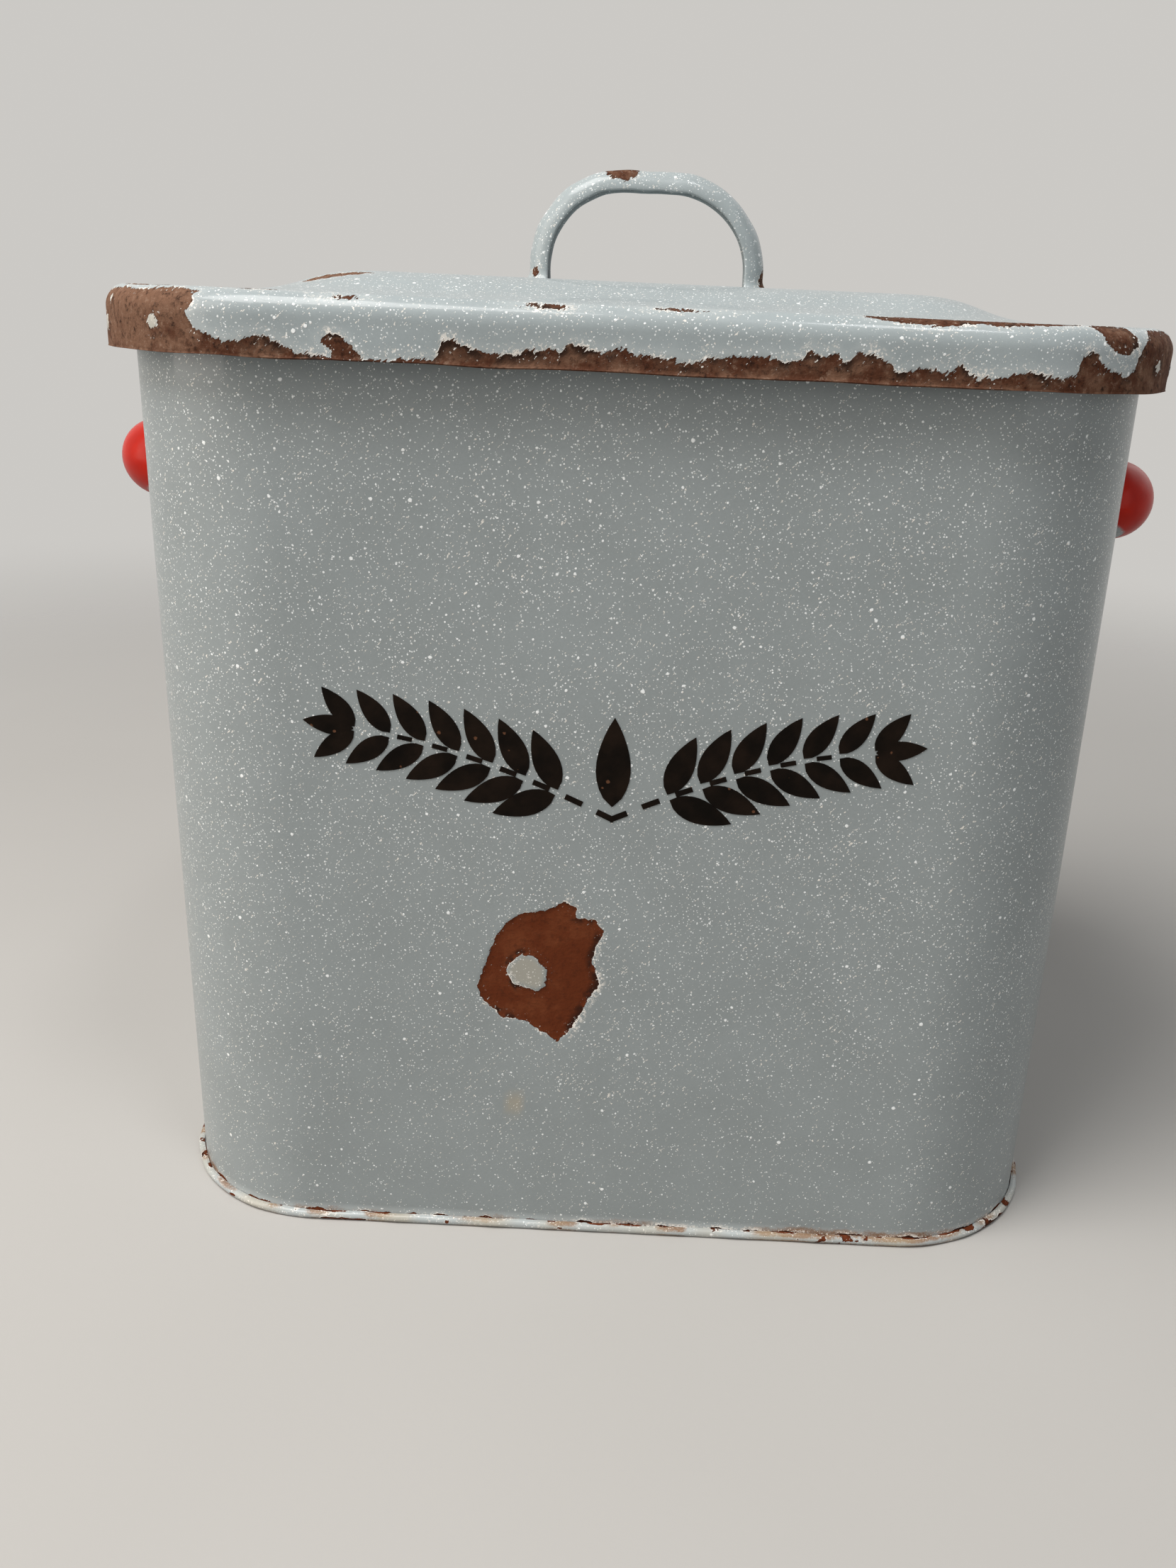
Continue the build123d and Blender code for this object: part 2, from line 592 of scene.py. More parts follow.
class GeometryTree(Graph):
    """A Geometry Nodes tree that makes a mesh from a curve and some named inputs."""

    def __init__(self, name: str, wanted: Mapping[str, str]) -> None:
        """Open the tree.

        Args:
            name: Name of the tree.
            wanted: Kind of each input that it has beside the curve and the finish.
        """
        super().__init__(bpy.data.node_groups.new(name, "GeometryNodeTree"))
        face = self.tree.interface
        face.new_socket("Curve", in_out="INPUT", socket_type="NodeSocketGeometry")
        self.keys: dict[str, str] = {}
        for key, kind in {**wanted, "Finish": "Material"}.items():
            socket = face.new_socket(key, in_out="INPUT", socket_type=f"NodeSocket{kind}")
            self.keys[key] = socket.identifier
        face.new_socket("Mesh", in_out="OUTPUT", socket_type="NodeSocketGeometry")
        self.given = self.node("NodeGroupInput").outputs

    def close(self, shape: bpy.types.NodeSocket) -> None:
        """Make the shape real, set its material and lead it out.

        Args:
            shape: Shape that the tree has made.
        """
        real = self.node("GeometryNodeRealizeInstances", None, {0: shape})
        dressed = self.node("GeometryNodeSetMaterial", None,
                            {"Geometry": real.outputs[0], "Material": self.given["Finish"]})
        self.node("NodeGroupOutput", None, {"Mesh": dressed.outputs[0]})

    def run(self, curve: bpy.types.Object, values: Mapping[str, object]) -> SheetMesh:
        """Run the tree on a helper curve.

        Args:
            curve: Curve that it starts from.
            values: Value of each named input.

        Returns:
            The mesh that it makes.
        """
        modifier = curve.modifiers.new(self.tree.name, "NODES")
        modifier.node_group = self.tree
        for name, value in values.items():
            modifier[self.keys[name]] = value
        evaluated = curve.evaluated_get(bpy.context.evaluated_depsgraph_get())
        mesh = bpy.data.meshes.new_from_object(evaluated)
        shape = SheetMesh.taken_from(mesh)
        curve.modifiers.clear()
        bpy.data.meshes.remove(mesh)
        return shape


class SectionCarrier(GeometryTree):
    """Geometry Nodes tree that carries a section along a path with rounded bends."""

    bend_points: ClassVar[int] = 48

    def __init__(self) -> None:
        """Wire the tree once."""
        super().__init__("section_along_path", {"Section": "Object", "Bend": "Float", "Step": "Float"})
        section = self.node("GeometryNodeObjectInfo", None, {"Object": self.given["Section"]})
        bent = self.node("GeometryNodeFilletCurve", {"mode": "POLY"}, {
            "Curve": self.given["Curve"], "Count": self.bend_points, "Radius": self.given["Bend"],
            "Limit Radius": True})
        even = self.node("GeometryNodeResampleCurve", {"mode": "LENGTH"},
                         {"Curve": bent.outputs[0], "Length": self.given["Step"]})
        level = self.node("GeometryNodeSetCurveNormal", {"mode": "Z_UP"}, {"Curve": even.outputs[0]})
        skin = self.node("GeometryNodeCurveToMesh", None, {
            "Curve": level.outputs[0], "Profile Curve": section.outputs["Geometry"], "Fill Caps": True})
        self.close(skin.outputs[0])

    def carry(self, path: Sequence[Point2], closed: bool, section: Array, bend: float, step: float,
              finish: bpy.types.Material) -> SheetMesh:
        """Carry a section along a level path.

        Args:
            path: Corners of the path, anticlockwise.
            closed: Whether the path returns to its start.
            section: Closed section as pairs of outward reach and height.
            bend: Radius of the path's bends.
            step: Spacing of the stations along it.
            finish: Material that the tree sets.

        Returns:
            The swept mesh.
        """
        run = helper_curve("path", raised(np.array(path), 0.0), closed)
        shape = helper_curve("section", raised(section * np.array((1.0, -1.0)), 0.0), True)
        swept = self.run(run, {"Section": shape, "Bend": bend * MM, "Step": step * MM, "Finish": finish})
        discard(run, shape)
        return swept


class EarTree(GeometryTree):
    """Geometry Nodes tree that sets grains and pieces of stalk along a stem."""

    # Shares of the stem where the grains start and where the last one stands, and how much they shrink
    grains_from: ClassVar[Point2] = (0.12, 0.13)
    tip_from: ClassVar[Point2] = (0.98, 0.99)
    taper: ClassVar[float] = 0.28

    def __init__(self) -> None:
        """Wire the tree once."""
        super().__init__("grains_on_stem", {
            "Grain": "Object", "Stalk": "Object", "Count": "Int", "Lean": "Float"})
        points = self.node("GeometryNodeResampleCurve", {"mode": "COUNT"},
                           {"Curve": self.given["Curve"], "Count": self.given["Count"]})
        ahead = self.node("GeometryNodeInputTangent").outputs[0]
        tangent = self.node("ShaderNodeSeparateXYZ", None, {0: ahead})
        heading = self.wire("ShaderNodeMath", {"operation": "ARCTAN2"},
                            {0: tangent.outputs[1], 1: tangent.outputs[0]})
        share = self.wire("GeometryNodeSplineParameter", output="Factor")
        ear = share.ramp(*self.grains_from)
        tip = share.ramp(*self.tip_from)
        lean = Wire(self, self.given["Lean"])
        size = 1.0 - share * self.taper
        scale = self.node("ShaderNodeCombineXYZ", None, {0: size, 1: size, 2: 1.0})
        joined = self.node("GeometryNodeJoinGeometry")
        for source, turn, chosen in (("Grain", lean, ear), ("Grain", lean * -1.0, ear), ("Grain", 0.0, tip),
                                     ("Stalk", 0.0, 1.0 - tip)):
            held = self.node("GeometryNodeObjectInfo", None, {"Object": self.given[source]})
            spin = self.node("ShaderNodeCombineXYZ", None, {2: heading + turn})
            rotation = self.node("FunctionNodeEulerToRotation", None, {0: spin.outputs[0]})
            placed = self.node("GeometryNodeInstanceOnPoints", None, {
                "Points": points.outputs[0], "Selection": chosen, "Instance": held.outputs["Geometry"],
                "Rotation": rotation.outputs[0], "Scale": scale.outputs[0]})
            self.feed(joined.inputs[0], placed.outputs[0])
        self.close(joined.outputs[0])


# Finishes


@dataclass(frozen=True)
class Splash:
    """One size of splash, in millimetres.

    The pitch is the width of a cell, which holds one splash at most. The share is the part of the
    cells that hold one, and the strength is how far it covers the ground.
    """

    pitch: float
    share: float
    smallest: float
    largest: float
    strength: float = 1.0


@dataclass(frozen=True)
class Cloud:
    """Cloudy unevenness, in millimetres.

    The size is the width of its lumps, the detail the octaves of finer lumps and rough their
    strength. The stretch scales the place along each axis first, and the turn is an angle about Y.
    """

    size: float
    detail: float = 3.0
    stretch: Point3 = (1.0, 1.0, 1.0)
    rough: float = 0.55
    turn: float = 0.0

    # Takes the noise from about its middle to about unit reach
    spread: ClassVar[float] = 3.0

    @property
    def aslant(self) -> bool:
        """Whether the place has to be turned or stretched."""
        return bool(self.turn) or self.stretch != (1.0, 1.0, 1.0)


class SurfaceGraph(Graph):
    """A material's tree, with the patterns that enamel and rust are made of."""

    # Closeness and reach of the stirring that keeps splashes from being round
    stir_rate: ClassVar[float] = 1.3
    stir_reach: ClassVar[float] = 0.5

    # Where a splash fades out, as shares of its radius, and the step by which a cell is drawn
    soft_edge: ClassVar[Point2] = (0.6, 1.0)
    drawn_over: ClassVar[Point2] = (1.0, 1.001)

    def __init__(self, name: str) -> None:
        """Start a material whose patterns are measured in millimetres on the object.

        Args:
            name: Name of the material.
        """
        self.material = bpy.data.materials.new(name)
        self.material.use_nodes = True
        self.material.node_tree.nodes.clear()
        super().__init__(self.material.node_tree)
        self.place = self.scaled(self.node("ShaderNodeTexCoord").outputs["Object"], 1.0 / MM)
        stir = self.node("ShaderNodeTexNoise", None,
                         {"Vector": self.place, "Scale": self.stir_rate, "Detail": 1.0})
        sway = self.scaled(stir.outputs["Color"], self.stir_reach)
        self.swayed = self.wire("ShaderNodeVectorMath", {"operation": "ADD"}, {0: self.place, 1: sway})

    def scaled(self, vector: bpy.types.NodeSocket, size: float) -> Wire:
        """Scale a vector."""
        return self.wire("ShaderNodeVectorMath", {"operation": "SCALE"}, {0: vector, "Scale": size})

    def cloud(self, cloud: Cloud) -> Wire:
        """Make cloudy noise around 0, of about unit reach.

        Args:
            cloud: Size and kind of its lumps.

        Returns:
            The noise.
        """
        place = self.place
        if cloud.aslant:
            place = self.wire("ShaderNodeMapping", {"vector_type": "TEXTURE"}, {
                "Vector": place, "Rotation": (0.0, cloud.turn, 0.0),
                "Scale": tuple(1.0 / share for share in cloud.stretch)})
        raw = self.wire("ShaderNodeTexNoise", None, {
            "Vector": place, "Scale": 1.0 / cloud.size, "Detail": cloud.detail, "Roughness": cloud.rough})
        return (raw - 0.5) * cloud.spread

    def specks(self, splash: Splash, share: Wire | float | None = None) -> Wire:
        """Scatter small splashes, one at most in each cell.

        Args:
            splash: Size of splash.
            share: Share of the cells that hold one, where it isn't the usual share.

        Returns:
            1 inside a splash and 0 outside.
        """
        cells = self.node("ShaderNodeTexVoronoi", {"feature": "F1"},
                          {"Vector": self.swayed, "Scale": 1.0 / splash.pitch, "Randomness": 1.0})
        drawn = self.node("ShaderNodeTexWhiteNoise", {"noise_dimensions": "3D"},
                          {"Vector": cells.outputs["Color"]})
        chance = self.node("ShaderNodeSeparateColor", None, {0: drawn.outputs["Color"]})
        radius = Wire(self, chance.outputs[0]) * (splash.largest - splash.smallest) + splash.smallest
        wanted = splash.share if share is None else share
        held = (Wire(self, chance.outputs[1]) + wanted).ramp(*self.drawn_over)
        away = Wire(self, cells.outputs["Distance"]) * splash.pitch
        return (1.0 - (away / radius).ramp(*self.soft_edge)) * held

    def field(self, name: str) -> Wire:
        """Read one of the piece's own fields."""
        return self.wire("ShaderNodeAttribute", {"attribute_name": name}, output="Fac")

    def coat(self, colour: Wire, roughness: Wire | float, height: Wire, gloss: float, glaze: float = 0.0,
             glaze_roughness: float = 0.05) -> Wire:
        """Make one shader.

        Args:
            colour: Colour of the surface.
            roughness: Roughness of the surface.
            height: Relief in millimetres.
            gloss: Specular level.
            glaze: Weight of the glassy top layer.
            glaze_roughness: Roughness of that layer.

        Returns:
            The shader.
        """
        bump = self.wire("ShaderNodeBump", None, {"Strength": 1.0, "Distance": MM, "Height": height})
        return self.wire("ShaderNodeBsdfPrincipled", None, {
            "Base Color": colour, "Roughness": roughness, "Normal": bump, "Specular IOR Level": gloss,
            "Coat Weight": glaze, "Coat Roughness": glaze_roughness})

    def over(self, share: Wire, under: Wire, upper: Wire) -> Wire:
        """Lay one shader over another by a share."""
        return self.wire("ShaderNodeMixShader", None, {0: share, 1: under, 2: upper})

    def finish(self, shader: Wire) -> bpy.types.Material:
        """Close the tree and return the material."""
        self.node("ShaderNodeOutputMaterial", None, {"Surface": shader})
        return self.material


@dataclass(frozen=True)
class Rust:
    """Bare steel under broken enamel."""

    dark: Colour = (0.018, 0.0075, 0.0050, 1.0)
    brown: Colour = (0.098, 0.0230, 0.0078, 1.0)
    dusty: Colour = (0.128, 0.0350, 0.0130, 1.0)
    powder: Colour = (0.170, 0.0600, 0.0260, 1.0)
    grain: Cloud = Cloud(2.2, 4.0, rough=0.75)
    dusty_over: Point2 = (-0.4, 0.5)
    powder_over: Point2 = (0.1, 0.9)
    bloom: float = 0.12
    mottle_over: Point2 = (-0.05, 0.7)
    mottle: float = 0.35
    soot_reach: Point2 = (0.4, 3.6)
    soot_over: Point2 = (-0.05, 0.4)
    soot_dust: float = 0.5
    # Painted shade: a thin dark line just inside the enamel's edge stands for the shadow of the enamel's
    # step
    soot: float = 0.92
    painted_step_shade_reach: Point2 = (0.0, 0.6)
    rim: float = 0.6
    roughness: float = 0.72
    roughness_spread: float = 0.1
    relief: float = 0.12
    gloss: float = 0.06

    def shader(self, graph: SurfaceGraph, edge: Wire, patch: Wire) -> Wire:
        """Mottle the steel from nearly black at the enamel's edge to dusty brown, with painted shade of the
        enamel's step as a thin dark line right at the edge.

        Args:
            graph: Tree to wire it in.
            edge: Millimetres inside the bare patch.
            patch: Broad unevenness that the enamel's edge shares.

        Returns:
            The shader of the steel.
        """
        grain = graph.cloud(self.grain)
        dust = graph.field("dust")
        colour = graph.tint((patch + dust).ramp(*self.dusty_over), self.brown, self.dusty)
        colour = graph.tint((grain * -1.0).ramp(*self.powder_over) * self.bloom, colour, self.powder)
        mottle = grain.ramp(*self.mottle_over) * self.mottle
        soot = (1.0 - edge.ramp(*self.soot_reach)) * (patch - dust * self.soot_dust).ramp(*self.soot_over)
        # rim is painted shade, a thin dark line at the enamel's edge standing for the shadow of its step
        rim = (1.0 - edge.ramp(*self.painted_step_shade_reach)) * self.rim
        colour = graph.tint(mottle.most(soot * self.soot).most(rim), colour, self.dark)
        roughness = self.roughness + grain * self.roughness_spread
        return graph.coat(colour, roughness, grain * self.relief, self.gloss)


@dataclass(frozen=True)
class SpeckledEnamel:
    """Grey-blue enamel with white splashes, worn through to rusty steel in places."""

    name: str
    ground: Colour = GREY_GROUND
    shade: Colour = (0.214, 0.238, 0.240, 1.0)
    splash: Colour = WHITE_SPLASH
    broken: Colour = (0.70, 0.67, 0.62, 1.0)
    bead: Colour = (0.46, 0.49, 0.49, 1.0)
    orange: Colour = (0.170, 0.078, 0.028, 1.0)
    tan: Colour = (0.38, 0.31, 0.20, 1.0)
    fine: Splash = Splash(0.85, 0.52, 0.15, 0.33, 0.76)
    middling: Splash = Splash(1.7, 0.35, 0.20, 0.47, 0.95)
    large: Splash = Splash(4.5, 0.21, 0.38, 0.85)
    gloss: float = 0.16
    roughness: float = 0.30
    glaze: float = 0.20
    glaze_roughness: float = 0.07
    rust: Rust = Rust()

    # Unevenness of the coat and of a chip's edge
    scored: Cloud = Cloud(1.2, 2.0, (0.25, 1.0, 1.8), turn=-0.8)
    patchy: Cloud = Cloud(6.5)
    shards: Cloud = Cloud(1.0, 2.0, rough=0.75)
    drift: Cloud = Cloud(30.0, 2.0)
    ragged: Cloud = Cloud(2.6)
    ragged_reach: float = 0.85
    scoring: float = 0.30

    # Chips: bare steel, flakes left on it, a pale broken lip and crumbs beside it
    bare_reach: Point2 = (0.0, 0.14)
    fleck_shards: float = 0.8
    fleck_scoring: float = 0.6
    fleck_over: Point2 = (0.44, 0.64)
    fleck_reach: Point2 = (0.4, 3.4)
    lip_reach: Point2 = (-0.45, -0.15)
    lip_over: Point2 = (-0.2, 0.5)
    crumb_patch: float = 0.5
    crumb_dust: float = 0.35
    crumb_over: Point2 = (0.25, 0.55)
    crumb_reach: Point2 = (-3.0, -0.1)
    broken_share: float = 0.9

    # Splashes, which lie more thinly towards the bin's foot
    sprinkle: float = 1.0
    spots: float = 1.35
    sprinkle_drift: float = 0.15
    sprinkle_height: Point2 = (5.0, 160.0)
    sprinkle_foot: float = 0.42

    # Cloudiness and stains of the coat
    haze_over: Point2 = (-0.8, 0.9)
    shade_over: Point2 = (-0.9, 0.9)
    shade_drift: float = 0.5
    shade_haze: float = 0.4
    blot_drift: float = 0.5
    blot_patch: float = 0.7
    blot_shards: float = 0.5
    blot_over: Point2 = (0.30, 0.95)
    blot_share: float = 0.85
    blot_roughness: float = 0.25
    haze_roughness: float = 0.05

    # Heights of the relief
    middling_height: float = 0.05
    large_height: float = 0.10
    lip_height: float = 0.04

    def material(self) -> bpy.types.Material:
        """Wire the enamel, its splashes, its chips and its stains.

        Returns:
            The material.
        """
        graph = SurfaceGraph(self.name)
        scored, patch, shards, drift = map(graph.cloud, (self.scored, self.patchy, self.shards, self.drift))
        haze = shards.ramp(*self.haze_over)
        edge = graph.field("wear") + graph.cloud(self.ragged) * self.ragged_reach + scored * self.scoring
        flecks = (shards * self.fleck_shards - scored * self.fleck_scoring).ramp(*self.fleck_over)
        flecks = flecks * (1.0 - edge.ramp(*self.fleck_reach))
        bare = edge.ramp(*self.bare_reach) * (1.0 - flecks)
        lip = edge.ramp(*self.lip_reach) * patch.ramp(*self.lip_over)
        crumbs = shards + patch * self.crumb_patch - graph.field("dust") * self.crumb_dust
        crumbs = edge.ramp(*self.crumb_reach) * crumbs.ramp(*self.crumb_over)
        broken = lip.most(crumbs * self.broken_share).most(flecks * self.broken_share)

        height = graph.wire("ShaderNodeSeparateXYZ", None, {0: graph.place}, 2)
        upward = height.ramp(*self.sprinkle_height) * (1.0 - self.sprinkle_foot) + self.sprinkle_foot
        more = (drift * self.sprinkle_drift + 1.0) * upward
        fine = graph.specks(self.fine, more * (self.fine.share * self.sprinkle))
        middling = graph.specks(self.middling, more * (self.middling.share * self.sprinkle))
        large = graph.specks(self.large, more * (self.large.share * self.spots))
        white = (fine * self.fine.strength).most(middling * self.middling.strength).most(large)

        shade = drift.ramp(*self.shade_over) * self.shade_drift + haze * self.shade_haze
        uneven = 1.0 + drift * self.blot_drift + patch * self.blot_patch + shards * self.blot_shards
        blot = (graph.field("stain") * uneven).ramp(*self.blot_over)
        colour = graph.tint(shade, self.ground, self.shade)
        colour = graph.tint(graph.field("pale"), colour, self.bead)
        colour = graph.tint(white, colour, self.splash)
        colour = graph.tint(blot * self.blot_share, colour, self.orange)
        colour = graph.tint(graph.field("tea"), colour, self.tan)
        colour = graph.tint(broken, colour, self.broken)
        relief = (middling * self.middling_height).most(large * self.large_height) + lip * self.lip_height
        roughness = self.roughness + blot * self.blot_roughness + haze * self.haze_roughness
        enamel = graph.coat(colour, roughness, relief, self.gloss, self.glaze, self.glaze_roughness)
        return graph.finish(graph.over(bare, enamel, self.rust.shader(graph, edge, patch)))


@dataclass(frozen=True)
class RedEnamel:
    """Glossy red enamel over the grips, feathered out to grey at the feet."""

    name: str = "red_grip_enamel"
    red: Colour = (0.410, 0.0130, 0.0040, 1.0)
    deep: Colour = (0.290, 0.0090, 0.0046, 1.0)
    ground: Colour = GREY_GROUND
    splash: Colour = WHITE_SPLASH
    fine: Splash = Splash(0.85, 0.52, 0.15, 0.33, 0.72)
    middling: Splash = Splash(1.7, 0.35, 0.20, 0.47, 0.9)
    thin: Splash = Splash(2.4, 0.2, 0.15, 0.32, 0.4)
    border: Point2 = (4.6, 7.6)
    border_sway: Cloud = Cloud(5.0)
    border_crumble: Cloud = Cloud(1.2, 2.0)
    sway_reach: float = 1.1
    crumble_reach: float = 0.4
    drift: Cloud = Cloud(14.0)
    drift_over: Point2 = (-0.8, 0.8)
    ripple: Cloud = Cloud(5.0, 2.0)
    ripple_height: float = 0.02
    coat_height: float = 0.06
    roughness: float = 0.26
    roughness_spread: float = 0.07
    gloss: float = 0.10

    def material(self) -> bpy.types.Material:
        """Wire the red coat, its soft border and the grey coat under it.

        Returns:
            The material.
        """
        graph = SurfaceGraph(self.name)
        sway = graph.cloud(self.border_sway) * self.sway_reach
        crumble = graph.cloud(self.border_crumble) * self.crumble_reach
        coated = (graph.field("from_wall") + sway + crumble).ramp(*self.border)
        drift = graph.cloud(self.drift).ramp(*self.drift_over)
        white, speckled, thin = (graph.specks(splash) * splash.strength
                                 for splash in (self.fine, self.middling, self.thin))
        grey = graph.tint(white.most(speckled), self.ground, self.splash)
        red = graph.tint(thin, graph.tint(drift, self.red, self.deep), self.deep)
        colour = graph.tint(coated, grey, red)
        height = graph.cloud(self.ripple) * self.ripple_height + coated * self.coat_height
        roughness = self.roughness + drift * self.roughness_spread
        return graph.finish(graph.coat(colour, roughness, height, self.gloss))


@dataclass(frozen=True)
class StencilEnamel:
    """Brown-black enamel put on through a stencil."""

    name: str = "stencil_black_enamel"
    black: Colour = (0.0042, 0.0032, 0.0025, 1.0)
    brown: Colour = (0.012, 0.0074, 0.0050, 1.0)
    rusty: Colour = (0.12, 0.055, 0.030, 1.0)
    fleck: Splash = Splash(3.2, 0.12, 0.25, 0.8, 0.8)
    fleck_depth: float = 0.05
    drift: Cloud = Cloud(9.0, 4.0)
    drift_over: Point2 = (-0.7, 0.8)
    grain: Cloud = Cloud(1.6)
    grain_height: float = 0.03
    roughness: float = 0.34
    roughness_spread: float = 0.12
    rusty_roughness: float = 0.7
    gloss: float = 0.04

    def material(self) -> bpy.types.Material:
        """Wire the black coat and its few rusty flecks.

        Returns:
            The material.
        """
        graph = SurfaceGraph(self.name)
        drift = graph.cloud(self.drift).ramp(*self.drift_over)
        fleck = graph.specks(self.fleck)
        colour = graph.tint(drift, self.black, self.brown)
        colour = graph.tint(fleck * self.fleck.strength, colour, self.rusty)
        black_roughness = self.roughness + drift * self.roughness_spread
        roughness = graph.blend(fleck, black_roughness, self.rusty_roughness)
        height = graph.cloud(self.grain) * self.grain_height - fleck * self.fleck_depth
        return graph.finish(graph.coat(colour, roughness, height, self.gloss))


@dataclass(frozen=True)
class PaleGround:
    """Matt pale board for the floor, which thins out into the room far from the bin."""

    name: str = "pale_floor_board"
    pale: Colour = (0.405, 0.396, 0.381, 1.0)
    warm: Colour = (0.384, 0.375, 0.360, 1.0)
    near: float = 480.0
    far: float = 1500.0
    drift: Cloud = Cloud(400.0)
    drift_over: Point2 = (-0.8, 0.8)
    grain: Cloud = Cloud(3.0, 2.0)
    grain_height: float = 0.01
    roughness: float = 0.8
    gloss: float = 0.1

    def material(self) -> bpy.types.Material:
        """Wire a faint unevenness of tone and the soft border.

        Returns:
            The material.
        """
        graph = SurfaceGraph(self.name)
        colour = graph.tint(graph.cloud(self.drift).ramp(*self.drift_over), self.pale, self.warm)
        board = graph.coat(colour, self.roughness, graph.cloud(self.grain) * self.grain_height, self.gloss)
        away = graph.wire("ShaderNodeVectorMath", {"operation": "LENGTH"}, {0: graph.place}, "Value")
        clear = graph.wire("ShaderNodeBsdfTransparent")
        return graph.finish(graph.over(away.ramp(self.near, self.far), board, clear))


@dataclass
class Finishes:
    """The finishes that the pieces share."""

    bin_grey: bpy.types.Material
    lid_grey: bpy.types.Material
    red: bpy.types.Material
    black: bpy.types.Material

    @classmethod
    def mixed(cls) -> "Finishes":
        """Make each finish once.

        Returns:
            All the finishes.
        """
        dusty_rust = Rust(
            dark=(0.014, 0.0068, 0.0048, 1.0), brown=(0.068, 0.0255, 0.0135, 1.0),
            dusty=(0.140, 0.0745, 0.0470, 1.0), powder=(0.270, 0.1850, 0.1350, 1.0),
            mottle=0.95, bloom=0.75)
        lid = SpeckledEnamel(
            "lid_speckled_enamel", ground=(0.285, 0.324, 0.334, 1.0), shade=(0.240, 0.272, 0.280, 1.0),
            sprinkle=0.9, spots=3.0, scoring=0.95, rust=dusty_rust)
        return cls(SpeckledEnamel("bin_speckled_enamel").material(), lid.material(), RedEnamel().material(),
                   StencilEnamel().material())


# Sub-assemblies


def fit(piece: bpy.types.Object, body: Body, node: str | None = None) -> None:
    """Let a piece ride on its body and stand for its solid.

    Args:
        piece: The finished piece.
        body: Body that it moves with.
        node: Solid that it replaces, if it does.
    """
    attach(piece, body.value)
    if node:
        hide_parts(node)
    triangles = sum(len(face.vertices) - 2 for face in piece.data.polygons)
    log.info("%s: %d triangles, on %s", piece.name, triangles, body.value)


